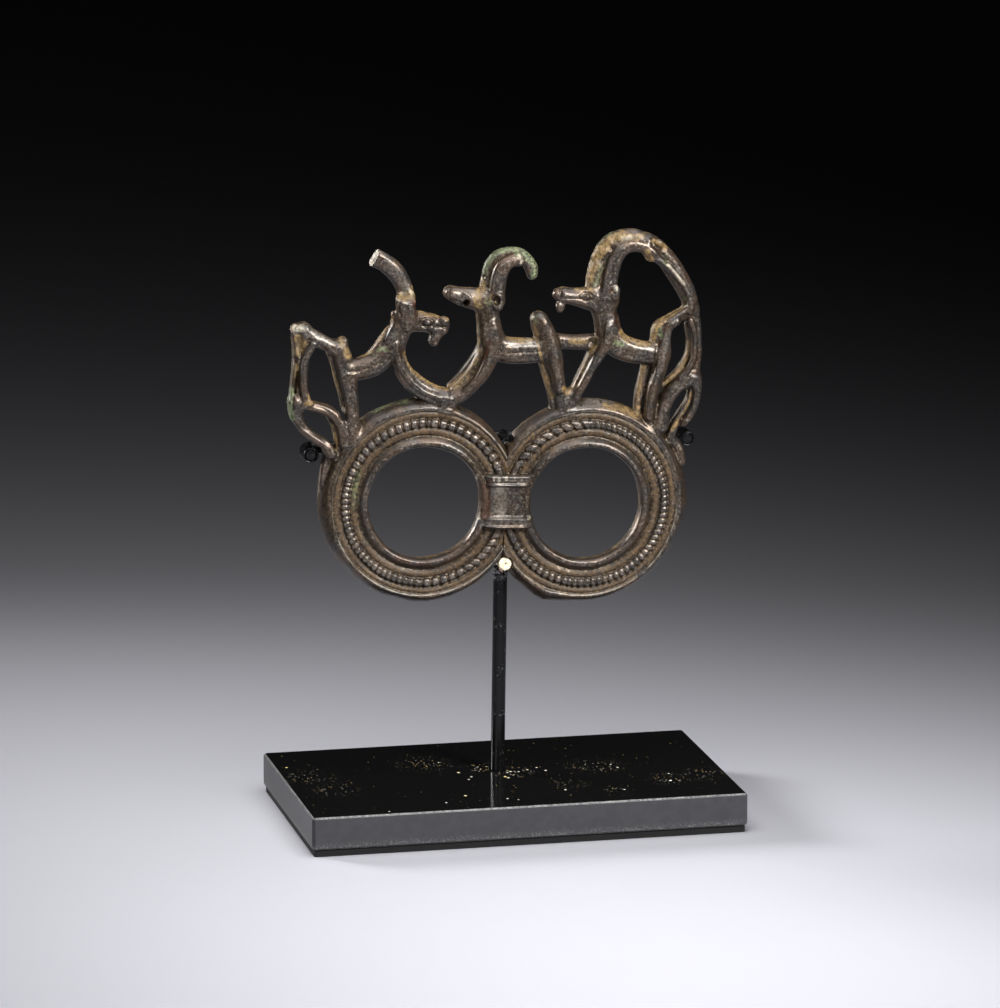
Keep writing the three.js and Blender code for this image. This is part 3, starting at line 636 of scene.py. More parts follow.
# Notches on the ribs: from and to angle, pitch in degrees, depth in millimetres, and slant in degrees per millimetre
LEFT_NOTCHES = [
    [1, 64, 6.35, 0.5, 0.0], [112, 148, 6.0, 0.3, 1.2], [148, 181, 6.2, 0.4, 0.0], [181, 284, 4.2, 0.3, 0.0],
    [284, 361, 5.7, 0.45, 0.0],
]
RIGHT_NOTCHES = [
    [0, 130, 4.2, 0.28, 0.6], [130, 190, 4.4, 0.35, 0.0], [190, 242, 5.0, 0.45, 0.0], [298, 360, 7.3, 0.55, 1.6],
]
RIB_INNER, RIB_OUTER = 22.0, 24.6


def outline_distance(outline, radii):
    """Signed distance to a closed outline of [radius, y], as a table over the radii and the grid's depths."""
    points = np.array(outline, float)
    smooth = curve_through(np.vstack([points[-2:], points, points[:2]]), 4)[8:-8]
    r, y = radii[:, None], GRID_Y[None, :]
    nearest, inside = np.full((len(radii), len(GRID_Y)), np.inf), np.zeros((len(radii), len(GRID_Y)), bool)
    for a, b in zip(smooth, np.roll(smooth, -1, 0)):
        step = b - a
        t = np.clip(((r - a[0]) * step[0] + (y - a[1]) * step[1]) / max(step @ step, 1e-12), 0, 1)
        nearest = np.minimum(nearest, np.hypot(r - a[0] - t * step[0], y - a[1] - t * step[1]))
        if a[1] != b[1]:
            crossing = (a[1] > y) != (b[1] > y)
            inside ^= crossing & (r < a[0] + (y - a[1]) / step[1] * step[0])
    return np.where(inside, -nearest, nearest)


def ring_polar(side):
    """A ring's block of the grid, with each place's radius and its angle clockwise from the top."""
    middle = side * RING_SPACING / 2
    block = span(GRID_X, middle - 33, middle + 33), span(GRID_Z, -33, 33)
    dx, dz = GRID_X[block[0]][:, None] - middle, GRID_Z[block[1]][None, :]
    return block, np.hypot(dx, dz), np.degrees(np.arctan2(dx, dz)) % 360


def add_ring(casting, piece, side, reach):
    block, radius, angle = ring_polar(side)
    outer = np.interp(angle, *np.transpose(reach))
    stretch = (LEDGE_RADIUS - WARP_FROM) / (outer - WARP_FROM)
    radius = np.where(radius > WARP_FROM, WARP_FROM + (radius - WARP_FROM) * stretch, radius)
    radii = np.arange(0, 52, 0.1)
    table = outline_distance(RING_SECTION, radii)
    place = np.clip(radius / 0.1, 0, len(radii) - 1.001)
    cell = place.astype(int)
    part = (place - cell)[..., None]
    distance = table[cell] * (1 - part) + table[cell + 1] * part
    past_middle = -side * GRID_X[block[0]][:, None, None]
    casting.join(piece, block, np.maximum(distance, past_middle), 0.5)


def press_notches(relief, side, notches):
    block, radius, angle = ring_polar(side)
    rib = smoothstep(radius, RIB_INNER - 0.25, RIB_INNER + 0.3) * smoothstep(-radius, -RIB_OUTER - 0.25, 0.3 - RIB_OUTER)
    for start, end, pitch, depth, slant in notches:
        turn = (angle - start + slant * (radius - RIB_INNER)) / pitch
        off = np.abs(turn - np.round(turn)) * pitch * math.radians(radius.mean())
        cut = 1 - smoothstep(off, 0.22, 0.48)
        within = (angle >= start) & (angle < end)
        relief.map[block] += depth * cut * rib * within


# The collar's section is a rounded box about its middle, grown by this much at each height
COLLAR_MIDDLE = 0.4
COLLAR_HALF_WIDTH = 6.7
COLLAR_FRONT, COLLAR_BACK = -9.2, -1.6
COLLAR_CORNER = 3.2
COLLAR_GROWTH = [
    [-7.0, 0.5], [-6.75, 1.0], [-6.4, 1.15], [-6.0, 0.7], [-5.1, 0.65], [-4.7, 0.8], [-4.3, 1.15], [-3.9, 0.6],
    [-3.4, 0.05], [-1.5, -0.1], [2.5, -0.1], [4.6, 0.1], [5.1, 0.3], [5.5, 0.95], [5.8, 0.95], [6.2, 0.55],
    [7.4, 0.55], [7.75, 1.05], [8.1, 1.1], [8.4, 0.6],
]
COLLAR_PIECES = {
    "collar_lower_band": [-7.0, -3.9],
    "collar_barrel": [-3.9, 5.2],
    "collar_upper_band": [5.2, 8.4],
}


def add_collar(casting):
    block = span(GRID_X, -12, 13), span(GRID_Z, -9, 10)
    x, z = GRID_X[block[0]][:, None, None], GRID_Z[block[1]][None, :, None]
    half_depth = (COLLAR_BACK - COLLAR_FRONT) / 2
    side = np.abs(x - COLLAR_MIDDLE) - COLLAR_HALF_WIDTH + COLLAR_CORNER
    rise = np.abs(GRID_Y - (COLLAR_FRONT + COLLAR_BACK) / 2) - half_depth + COLLAR_CORNER
    section = np.minimum(np.maximum(side, rise), 0) + np.hypot(np.maximum(side, 0), np.maximum(rise, 0)) - COLLAR_CORNER
    grown = (section - np.interp(z, *np.transpose(COLLAR_GROWTH))) * 0.85
    for piece, (low, high) in COLLAR_PIECES.items():
        casting.join(piece, block, np.maximum(grown, np.abs(z - (low + high) / 2) - (high - low) / 2 - 0.15), 0.12)
    for x, y, z in [(-7.9, -6.6, 7.3), (7.5, -6.4, 7.2)]:
        casting.knob("collar_upper_band", (x, y, z), (0.8, 0.9, 0.95))
    for x, y, z in [(-6.9, -6.7, -4.6), (7.6, -6.5, -4.6)]:
        casting.knob("collar_lower_band", (x, y, z), (0.75, 0.8, 0.8))


# Each piece's strands, as points of [x, z, half width], with their depths and how softly they join
STRANDS = {
    "left_ibex_body": [
        ([(-32.5, 50.4, 3.3), (-34.4, 47.0, 3.8), (-36.8, 43.2, 4.0), (-40.0, 40.0, 3.6), (-43.7, 38.6, 3.35),
          (-46.6, 38.0, 3.1)], {}),
    ],
    "left_ibex_horn_stump": [
        ([(-31.2, 51.4, 2.2), (-31.4, 54.4, 2.9), (-31.9, 58.0, 2.9), (-32.1, 62.0, 2.8)],
         {"front": -9.0, "back": -5.2, "blend": 0.7, "cut": ((-32.0, -8.6, 58.2), (0.05, -0.62, 0.78))}),
    ],
    "left_ibex_head": [
        ([(-32.0, 52.4, 3.4), (-29.2, 52.5, 3.2), (-26.2, 52.2, 2.8), (-23.4, 51.7, 2.5)], {}),
        ([(-23.4, 51.6, 2.5), (-20.9, 50.9, 2.6)], {"front": -7.9, "back": -2.6}),
        ([(-21.8, 49.4, 1.9), (-22.5, 47.8, 1.6), (-22.9, 46.6, 1.45)], {"front": -7.4, "back": -3.6, "blend": 0.6}),
    ],
    "left_ibex_horn": [
        ([(-31.0, 54.5, 2.9), (-31.2, 57.4, 2.8), (-31.7, 61.1, 2.65), (-33.2, 64.2, 2.65), (-35.3, 66.8, 2.65),
          (-38.0, 68.9, 2.65), (-40.4, 70.1, 2.75), (-44.0, 71.8, 2.8)],
         {"front": -6.1, "back": -1.9, "cut": ((-41.0, -4.0, 70.2), (-0.915, -0.1, 0.404))}),
    ],
    "left_ibex_hindleg": [
        ([(-50.1, 44.3, 2.7), (-49.0, 40.8, 3.0), (-47.9, 37.0, 2.7), (-47.2, 34.2, 2.5)], {}),
        ([(-47.6, 36.4, 2.6), (-46.8, 32.2, 2.25), (-46.0, 27.5, 2.05), (-45.5, 23.0, 2.1), (-45.1, 18.6, 2.4)],
         {"back": -4.2}),
        ([(-50.0, 44.6, 1.9), (-49.0, 46.5, 1.1)], {"front": -7.6, "back": -3.0, "blend": 0.6}),
    ],
    "left_ibex_far_hindleg": [
        ([(-52.6, 42.6, 0.9), (-51.4, 39.4, 0.85), (-50.2, 35.2, 0.85), (-48.6, 30.4, 0.85), (-47.5, 26.4, 0.95)],
         {"front": -6.2, "back": -2.2, "blend": 0.4}),
    ],
    "left_ibex_foreleg": [
        ([(-33.4, 46.0, 2.0), (-32.3, 40.8, 2.3), (-30.2, 37.1, 2.5), (-27.2, 34.2, 2.6), (-23.5, 32.0, 2.5),
          (-20.2, 30.9, 2.3)], {"front": -7.2}),
        ([(-34.4, 46.0, 1.1), (-33.6, 42.6, 1.15), (-31.8, 38.6, 1.2), (-29.0, 35.0, 1.2), (-25.6, 32.3, 1.2),
          (-22.0, 30.8, 1.2), (-18.8, 30.3, 1.2)], {"front": -8.3, "back": -4.8, "blend": 0.6}),
        ([(-33.6, 40.2, 1.0), (-31.8, 36.6, 1.2), (-28.8, 33.2, 1.25), (-25.3, 30.9, 1.25), (-21.8, 29.5, 1.1)],
         {"front": -7.7, "back": -4.0, "blend": 0.9}),
    ],
    "left_hooves": [
        ([(-19.0, 31.0, 2.0), (-18.6, 29.4, 2.6), (-18.4, 27.4, 3.0)], {"front": -7.6, "back": -2.6}),
    ],
    "left_beast_body": [
        ([(-60.6, 48.2, 2.4), (-60.8, 45.0, 2.4), (-60.9, 41.0, 2.2), (-61.0, 36.8, 2.2), (-61.1, 32.6, 2.4),
          (-61.2, 28.4, 2.45)], {"front": -6.8, "back": -2.0}),
        ([(-62.5, 53.5, 2.35), (-62.1, 50.2, 2.35), (-61.4, 46.4, 2.1)],
         {"front": -8.3, "back": -3.0, "blend": 0.5, "cut": ((-61.9, -5.6, 49.7), (-0.15, -0.5, 0.85))}),
        ([(-63.1, 47.5, 0.75), (-62.5, 42.5, 0.7), (-62.7, 37.5, 0.7), (-63.1, 32.0, 0.75), (-63.0, 27.6, 0.9),
          (-62.4, 24.4, 1.0)], {"front": -7.6, "back": -3.2, "blend": 0.5}),
        ([(-57.6, 46.6, 1.4), (-59.4, 43.6, 1.3), (-60.6, 40.4, 1.2), (-60.5, 36.0, 1.2), (-60.1, 32.2, 1.25),
          (-59.2, 29.4, 1.2)], {"front": -8.3, "back": -4.0, "blend": 0.6}),
    ],
    "left_beast_arm": [
        ([(-60.4, 49.4, 2.0), (-58.6, 47.9, 1.95), (-56.0, 46.5, 1.9), (-53.4, 45.2, 1.85), (-51.0, 44.0, 1.9)], {}),
    ],
    "left_beast_outer_leg": [
        ([(-62.2, 29.0, 2.0), (-61.8, 26.2, 2.0), (-61.0, 23.2, 1.5), (-59.0, 20.6, 1.4), (-55.8, 18.1, 1.35),
          (-52.8, 16.2, 1.45), (-51.2, 14.0, 1.5)], {}),
        ([(-51.4, 14.4, 1.5), (-51.9, 11.6, 1.4), (-52.6, 8.6, 1.2), (-53.1, 5.0, 0.9)],
         {"front": -5.8, "back": -2.2, "blend": 0.7}),
    ],
    "left_beast_inner_leg": [
        ([(-59.9, 27.9, 1.35), (-57.8, 27.7, 1.3), (-55.4, 27.2, 1.3), (-52.2, 26.0, 1.35), (-49.5, 23.6, 1.6),
          (-48.2, 20.4, 1.7), (-47.6, 17.0, 1.8)], {}),
        ([(-51.9, 24.6, 0.8), (-50.4, 21.6, 0.7), (-49.7, 18.4, 0.7), (-49.2, 15.6, 0.8)],
         {"front": -6.6, "back": -2.8, "blend": 0.5}),
    ],
    "middle_ibex_body": [
        ([(-7.7, 56.4, 3.4), (-6.9, 51.8, 3.35), (-6.2, 48.4, 3.65), (-4.4, 45.3, 3.85), (-1.0, 44.1, 3.75),
          (3.2, 44.1, 3.75), (8.4, 44.5, 3.55)], {}),
    ],
    "middle_ibex_head": [
        ([(-6.0, 58.6, 3.5), (-9.4, 58.7, 3.45), (-12.6, 59.1, 3.1), (-15.4, 59.6, 2.75), (-18.4, 60.5, 2.1)], {}),
    ],
    "middle_ibex_horn": [
        ([(-5.7, 58.6, 2.5), (-5.5, 62.4, 2.6), (-5.2, 65.4, 2.5), (-4.3, 68.2, 2.3), (-2.6, 70.0, 2.0),
          (-0.6, 70.7, 1.85), (3.0, 70.5, 1.8)],
         {"front": -8.6, "back": -4.6, "blend": 1.0, "cut": ((1.1, -7.0, 70.8), (0.95, -0.15, 0.1))}),
        ([(-8.0, 61.0, 2.1), (-7.9, 63.6, 1.9), (-7.0, 67.6, 2.0), (-5.3, 70.2, 2.1), (-2.6, 71.7, 2.1),
          (0.6, 71.6, 2.2), (3.2, 70.1, 2.1), (4.7, 67.9, 1.9), (5.1, 66.0, 1.6)],
         {"front": -6.0, "back": -2.0, "blend": 0.9}),
    ],
    "middle_ibex_ear": [
        ([(-5.4, 60.0, 1.8), (-5.3, 57.6, 1.85)], {"front": -9.5, "back": -5.6, "blend": 0.4}),
    ],
    "middle_ibex_hindleg": [
        ([(7.6, 53.2, 2.4), (8.5, 50.8, 2.9), (9.9, 47.6, 3.2), (11.2, 44.2, 2.95), (12.4, 40.8, 2.5)],
         {"front": -7.9}),
        ([(12.2, 42.8, 2.5), (13.4, 38.1, 2.05), (14.0, 34.7, 1.85), (14.9, 31.4, 1.9), (15.8, 29.0, 2.0)],
         {"front": -7.4, "back": -4.2}),
        ([(8.6, 52.4, 1.5), (9.9, 49.8, 1.8), (11.2, 46.0, 1.8), (12.3, 41.6, 1.5), (13.4, 37.4, 1.25),
          (14.2, 33.4, 1.1)], {"front": -8.7, "back": -4.8, "blend": 1.8}),
    ],
    "middle_ibex_far_hindleg": [
        ([(9.0, 42.4, 1.1), (9.7, 40.4, 1.1), (10.7, 37.1, 1.0), (11.7, 33.7, 1.0), (12.9, 30.1, 1.1), (13.4, 28.0, 1.3)],
         {"front": -5.8, "back": -2.2, "blend": 0.4}),
    ],
    "middle_ibex_foreleg": [
        ([(-6.0, 43.0, 2.4), (-7.4, 39.6, 2.15), (-8.8, 36.8, 1.95), (-10.9, 34.2, 1.85), (-13.4, 31.9, 1.85),
          (-16.4, 29.8, 2.0)], {"back": -4.2}),
        ([(-6.5, 52.0, 1.3), (-5.7, 48.6, 1.5), (-5.4, 45.6, 1.4), (-6.6, 42.2, 1.2), (-8.2, 38.8, 1.1),
          (-10.2, 35.8, 1.05), (-13.0, 32.8, 1.05)], {"front": -8.6, "back": -5.0, "blend": 0.8}),
    ],
    "middle_ibex_far_foreleg": [
        ([(-8.6, 47.0, 1.0), (-8.5, 44.4, 1.3), (-9.3, 41.4, 1.4), (-11.1, 38.2, 1.4), (-13.4, 35.1, 1.4),
          (-15.8, 32.6, 1.4)], {"front": -6.9, "back": -2.4, "blend": 0.6}),
        ([(-8.9, 45.6, 0.5), (-10.3, 42.6, 0.5), (-12.4, 39.2, 0.5), (-14.8, 36.0, 0.55), (-17.2, 33.4, 0.7)],
         {"front": -4.6, "back": -2.2, "blend": 0.3}),
    ],
    "right_ibex_body": [
        ([(26.4, 56.4, 3.6), (27.4, 52.8, 3.65), (28.3, 49.6, 3.75), (30.3, 46.6, 3.8), (33.9, 44.8, 3.6),
          (37.9, 43.9, 3.4), (42.0, 43.4, 3.2)], {}),
    ],
    "right_ibex_head": [
        ([(27.4, 58.9, 3.5), (23.8, 59.1, 3.4), (20.3, 59.6, 2.85), (16.9, 60.0, 2.3), (14.4, 60.4, 2.15)], {}),
        ([(12.9, 60.6, 1.75), (12.6, 60.6, 1.55)], {"front": -7.5, "back": -3.2, "blend": 0.15}),
        ([(13.9, 59.0, 1.1), (13.3, 57.2, 1.15)], {"front": -7.5, "back": -4.4, "blend": 0.4}),
    ],
    "right_ibex_horn": [
        ([(27.0, 60.0, 2.5), (27.2, 63.6, 2.5), (27.6, 67.6, 2.5), (28.6, 71.2, 2.35), (30.5, 73.9, 2.1),
          (33.2, 75.2, 2.0), (36.8, 74.9, 1.9), (39.4, 73.2, 1.7)], {"front": -8.4, "back": -4.6, "blend": 1.0}),
        ([(22.9, 61.8, 2.2), (23.4, 64.6, 2.5), (23.9, 68.4, 2.5), (25.1, 72.0, 2.5), (27.4, 75.2, 2.6),
          (30.6, 77.0, 2.6), (34.2, 77.2, 2.5), (37.8, 75.8, 2.3)], {"front": -7.2, "back": -2.0, "blend": 1.0}),
        ([(38.0, 74.4, 1.7), (38.6, 73.0, 1.6), (39.2, 71.6, 1.3)], {"front": -7.4, "back": -3.6, "blend": 0.5}),
    ],
    "right_ibex_ear": [
        ([(28.9, 62.2, 1.45), (28.8, 60.6, 1.4)], {"front": -9.3, "back": -5.8, "blend": 0.35}),
    ],
    "right_ibex_hindleg": [
        ([(43.2, 50.2, 2.5), (44.1, 46.9, 2.8), (44.3, 43.4, 2.8), (43.8, 39.9, 2.45), (43.1, 36.4, 2.1),
          (42.2, 32.4, 1.9), (41.7, 28.4, 1.85), (41.8, 24.8, 2.1), (42.6, 21.0, 2.4)], {"front": -7.2}),
        ([(47.6, 53.2, 1.2), (45.6, 51.6, 1.3), (44.9, 48.6, 1.4), (44.2, 44.4, 1.5), (43.2, 40.0, 1.35),
          (42.0, 35.6, 1.25), (41.2, 30.6, 1.2), (41.0, 25.6, 1.3)], {"front": -8.5, "back": -4.8, "blend": 1.3}),
        ([(41.8, 49.6, 1.2), (41.9, 46.0, 1.2)], {"front": -6.6, "back": -3.2, "blend": 0.5}),
    ],
    "right_ibex_far_hindleg": [
        ([(40.2, 41.6, 1.6), (39.6, 38.6, 1.35), (38.9, 34.9, 1.15), (38.3, 30.9, 1.15), (38.2, 26.4, 1.3)],
         {"front": -5.6, "back": -2.2, "blend": 0.4}),
    ],
    "right_ibex_foreleg": [
        ([(26.2, 46.2, 2.4), (24.9, 43.8, 2.2), (23.5, 41.0, 2.0), (22.2, 38.3, 1.9), (20.9, 35.3, 1.85),
          (19.4, 32.0, 1.9), (18.2, 29.4, 2.1)], {"front": -7.2}),
        ([(27.6, 51.6, 1.4), (27.7, 48.6, 1.5), (26.4, 45.0, 1.4), (24.4, 41.4, 1.25), (22.6, 38.0, 1.15),
          (21.0, 34.6, 1.1), (19.4, 31.4, 1.1)], {"front": -8.5, "back": -4.8, "blend": 1.3}),
    ],
    "right_hooves": [
        ([(17.0, 31.6, 1.9), (17.0, 29.6, 2.8), (17.0, 27.4, 3.2)], {"front": -7.4, "back": -2.6}),
    ],
    "tie_bar": [
        ([(11.5, 46.9, 2.4), (13.8, 46.7, 2.2), (18.5, 46.4, 2.0), (24.6, 46.5, 2.4)], {"front": -5.4, "back": -2.0}),
    ],
    "right_beast_body": [
        ([(52.6, 56.4, 2.15), (53.5, 52.4, 1.85), (54.0, 47.4, 1.75), (54.1, 43.4, 1.9), (53.8, 39.9, 2.15),
          (53.7, 36.2, 2.4)], {"front": -7.0}),
        ([(51.6, 53.8, 0.9), (52.9, 50.2, 0.75), (53.3, 46.2, 0.7), (53.1, 42.4, 0.75), (51.8, 39.6, 0.85),
          (49.8, 37.0, 0.9)], {"front": -8.2, "back": -4.6, "blend": 0.5}),
        ([(51.4, 52.0, 0.7), (52.4, 48.0, 0.75), (52.3, 44.0, 0.9), (50.8, 40.6, 0.9), (48.6, 37.6, 0.7),
          (46.0, 35.0, 0.7), (44.4, 33.4, 0.7)], {"front": -5.6, "back": -2.4, "blend": 0.4}),
    ],
    "right_beast_neck": [
        ([(38.6, 75.8, 2.3), (41.0, 74.2, 2.5), (43.6, 71.4, 2.85), (46.6, 67.8, 2.85), (49.3, 63.9, 2.65),
          (51.3, 60.0, 2.35), (52.3, 56.6, 2.25)], {"front": -7.2}),
        ([(38.8, 73.8, 0.9), (41.2, 71.2, 0.95), (43.8, 69.6, 0.8), (46.6, 66.8, 0.8), (49.3, 63.6, 0.8),
          (51.2, 59.6, 0.95), (51.4, 56.4, 1.1)], {"front": -8.3, "back": -4.8, "blend": 1.1}),
    ],
    "right_beast_arm": [
        ([(43.6, 51.4, 2.0), (45.6, 52.5, 2.0), (47.2, 53.5, 1.95), (49.2, 54.8, 1.85), (51.6, 56.2, 1.9)],
         {"front": -7.0}),
        ([(45.0, 53.0, 0.7), (47.6, 54.9, 0.7), (50.4, 56.8, 0.8)], {"front": -8.2, "back": -5.0, "blend": 0.4}),
    ],
    "right_beast_thigh": [
        ([(53.0, 36.8, 2.1), (51.4, 35.6, 2.1), (49.6, 34.6, 1.95), (47.9, 32.8, 1.85), (46.3, 30.2, 1.85),
          (45.3, 26.9, 1.95), (44.9, 22.6, 2.1)], {}),
    ],
    "right_beast_leg": [
        ([(54.6, 36.4, 1.5), (55.0, 33.4, 1.35), (54.6, 28.8, 1.2), (53.0, 25.6, 1.1), (51.4, 23.6, 1.0)],
         {"front": -7.6, "back": -4.4}),
        ([(53.8, 34.2, 0.9), (53.2, 30.2, 0.9), (51.4, 26.8, 0.9), (49.6, 23.4, 0.95), (48.6, 20.6, 1.1),
          (48.0, 18.2, 1.3)], {"front": -6.2, "back": -2.6, "blend": 0.4}),
        ([(48.4, 19.0, 1.3), (50.8, 15.8, 1.3), (52.0, 12.0, 1.2)], {"front": -5.8, "back": -2.4, "blend": 0.7}),
    ],
}

# Eyes, noses and other small swellings: piece, (x, y, z), radii, and how softly they join
KNOBS = [
    ("left_ibex_head", (-25.5, -8.0, 52.4), (1.2, 0.95, 1.1), 0.12),
    ("left_ibex_head", (-20.6, -7.3, 52.6), (1.75, 1.4, 1.65), 0.35),
    ("left_ibex_head", (-20.4, -7.0, 50.0), (1.15, 1.1, 1.4), 0.25),
    ("left_ibex_body", (-34.9, -5.6, 54.2), (0.8, 1.2, 1.2), 0.8),
    ("right_ibex_head", (20.9, -7.7, 60.3), (0.8, 0.75, 0.8), 0.08),
    ("right_ibex_head", (13.2, -7.0, 57.0), (1.2, 0.8, 1.5), 0.3),
    ("right_ibex_horn", (37.9, -7.3, 73.4), (1.2, 0.9, 1.3), 0.3),
    ("right_ibex_horn", (39.3, -7.3, 71.9), (1.0, 0.9, 1.1), 0.3),
    ("right_beast_neck", (41.0, -7.4, 76.0), (1.3, 0.9, 1.1), 0.4),
    ("left_beast_inner_leg", (-58.6, -7.6, 28.7), (1.3, 1.0, 1.1), 0.4),
    ("left_ibex_hindleg", (-50.3, -6.6, 46.6), (0.9, 0.9, 0.8), 0.4),
]
HOLLOWS = [
    ((-14.4, -8.2, 58.1), (0.9, 3.0, 1.1), 0.12),
    ((-5.9, -9.6, 59.0), (1.15, 1.9, 1.5), 0.15),
    ((-9.2, -6.4, 65.2), (0.6, 2.2, 0.8), 0.15),
    ((28.0, -9.3, 62.2), (0.75, 1.0, 1.1), 0.2),
    ((-41.6, -4.6, 70.4), (1.0, 1.5, 1.6), 0.3),
    ((-62.4, -8.2, 46.0), (1.5, 1.3, 3.0), 0.4),
    ((45.2, -7.8, 33.6), (1.2, 1.8, 1.3), 0.3),
    ((23.2, -6.2, 46.9), (1.2, 1.2, 1.5), 0.4),
]

# Grooves (above zero) and ridges (below zero) along the front: height, half width, and points as the camera sees them
GROOVES = [
    (0.30, 0.45, [(-47.5, 37.9), (-44.0, 38.6), (-41.0, 39.8), (-38.5, 41.0), (-36.6, 42.8)]),
    (0.40, 0.45, [(-36.4, 52.0), (-37.4, 48.6), (-38.6, 46.0)]),
    (0.22, 0.40, [(-35.4, 40.6), (-33.4, 38.4), (-31.2, 35.4), (-28.6, 33.0), (-25.4, 31.1), (-22.2, 29.9)]),
    (0.30, 0.40, [(-31.8, 44.0), (-30.0, 40.2), (-27.2, 36.6), (-23.4, 34.2)]),
    (0.55, 0.40, [(-33.9, 58.0), (-34.0, 56.4), (-33.2, 54.2)]),
    (0.35, 0.30, [(-29.6, 58.0), (-28.6, 55.4), (-28.2, 53.4)]),
    (0.45, 0.38, [(-27.6, 52.9), (-26.9, 51.6), (-25.4, 51.2), (-24.2, 51.6), (-23.7, 52.6)]),
    (0.35, 0.30, [(-27.1, 53.3), (-25.6, 53.8), (-24.2, 53.2)]),
    (-0.45, 0.30, [(-27.6, 53.6), (-26.2, 54.2), (-24.6, 53.9), (-23.6, 53.3)]),
    (-0.40, 0.28, [(-26.8, 50.8), (-25.4, 50.7), (-24.4, 50.9)]),
    (0.55, 0.38, [(-22.9, 51.3), (-22.6, 51.5)]),
    (0.40, 0.30, [(-21.8, 52.4), (-21.5, 52.6)]),
    (0.45, 0.26, [(-23.2, 51.0), (-21.8, 51.2), (-20.2, 51.0), (-18.8, 50.7)]),
    (0.30, 0.30, [(-23.6, 48.8), (-23.4, 46.8)]),
    (0.55, 0.40, [(-63.0, 42.0), (-62.8, 38.0), (-63.0, 34.0), (-63.4, 30.0), (-63.3, 27.0)]),
    (0.40, 0.35, [(-59.4, 47.4), (-56.8, 46.0), (-54.4, 44.4)]),
    (0.45, 0.32, [(-52.9, 42.6), (-51.6, 38.6), (-50.3, 35.0), (-49.2, 31.4), (-48.4, 28.0)]),
    (0.30, 0.25, [(-47.0, 34.6), (-46.0, 31.6), (-45.5, 28.6), (-45.3, 25.6)]),
    (0.70, 0.60, [(-48.9, 25.2), (-48.7, 24.6)]),
    (0.30, 0.30, [(-62.0, 24.6), (-60.4, 22.2), (-57.6, 20.2), (-54.8, 18.6), (-52.6, 16.8)]),
    (0.30, 0.30, [(-57.0, 28.2), (-53.8, 27.0), (-51.4, 25.0), (-50.0, 22.8)]),
    (0.40, 0.40, [(-9.2, 46.0), (-9.0, 44.0), (-10.0, 41.2), (-12.0, 37.8), (-14.6, 34.8), (-16.6, 33.2)]),
    (0.20, 0.30, [(-3.4, 43.0), (-1.6, 43.8), (2.0, 44.1), (6.0, 44.2), (8.6, 44.6)]),
    (0.16, 0.28, [(-4.2, 41.6), (0.0, 42.0), (5.0, 42.2), (8.0, 42.4)]),
    (0.14, 0.30, [(-2.4, 45.9), (2.0, 46.4), (6.6, 46.8)]),
    (0.32, 0.28, [(-19.3, 62.4), (-19.7, 60.9), (-19.3, 59.4)]),
    (-0.40, 0.40, [(-15.4, 61.2), (-14.3, 60.7), (-13.5, 59.8), (-13.1, 58.6)]),
    (0.35, 0.35, [(-18.4, 59.0), (-16.6, 58.6), (-15.4, 57.6)]),
    (0.25, 0.45, [(-8.2, 62.0), (-7.9, 65.0), (-7.4, 68.2), (-5.8, 70.9), (-3.6, 72.2)]),
    (0.10, 0.45, [(8.6, 49.6), (9.4, 46.4), (10.4, 42.0), (11.4, 38.0), (12.4, 34.2)]),
    (0.12, 0.28, [(12.4, 49.0), (13.2, 45.0), (13.9, 41.0)]),
    (0.28, 0.50, [(25.9, 53.2), (26.0, 50.2), (25.6, 47.4), (24.2, 45.0), (22.4, 42.0), (20.8, 38.4), (19.2, 34.8)]),
    (0.24, 0.32, [(29.8, 44.6), (33.0, 43.6), (37.0, 42.8), (40.4, 42.2)]),
    (0.30, 0.35, [(29.4, 56.0), (30.0, 52.6), (31.6, 49.4), (34.6, 47.2), (38.4, 46.4)]),
    (0.50, 0.30, [(12.8, 62.4), (12.8, 61.0), (12.9, 59.9)]),
    (0.35, 0.25, [(13.6, 59.8), (16.0, 59.7), (18.6, 59.6)]),
    (0.45, 0.35, [(18.6, 60.4), (19.6, 61.2), (21.0, 61.4), (22.2, 60.6), (21.6, 59.5), (20.2, 59.1), (18.8, 59.9)]),
    (-0.35, 0.35, [(17.0, 62.6), (19.6, 62.3), (21.6, 61.9), (23.0, 60.8)]),
    (0.35, 0.22, [(13.3, 58.6), (13.3, 56.6)]),
    (0.22, 0.50, [(24.4, 63.6), (24.8, 67.0), (25.8, 71.0), (27.4, 74.0), (30.0, 76.4), (33.6, 77.2), (37.0, 76.4)]),
    (0.30, 0.30, [(27.6, 65.0), (28.0, 69.0), (29.2, 72.6)]),
    (0.28, 0.45, [(42.4, 47.6), (42.0, 43.6), (41.6, 39.6), (40.8, 35.6)]),
    (0.45, 0.22, [(38.2, 38.6), (38.0, 34.6), (37.6, 30.8)]),
    (0.35, 0.30, [(51.6, 51.0), (52.1, 47.0), (51.9, 43.0), (50.4, 39.4)]),
    (0.30, 0.30, [(53.6, 52.0), (54.2, 47.0), (54.1, 42.0)]),
    (0.40, 0.35, [(53.4, 33.0), (53.0, 29.6), (51.6, 26.4), (50.0, 24.0)]),
    (0.22, 0.45, [(41.4, 70.0), (44.4, 67.4), (47.6, 64.0), (49.9, 60.6), (49.9, 58.4)]),
    (0.22, 0.40, [(38.8, 75.2), (41.6, 73.0), (44.4, 70.6), (47.2, 67.4), (50.0, 63.6), (51.9, 59.4)]),
    (0.50, 0.40, [(43.2, 70.8), (43.6, 70.2)]),
    (0.40, 0.25, [(43.6, 54.4), (46.6, 56.2), (49.2, 57.6)]),
    (0.30, 0.30, [(47.4, 36.4), (45.2, 34.6), (44.0, 33.2)]),
]


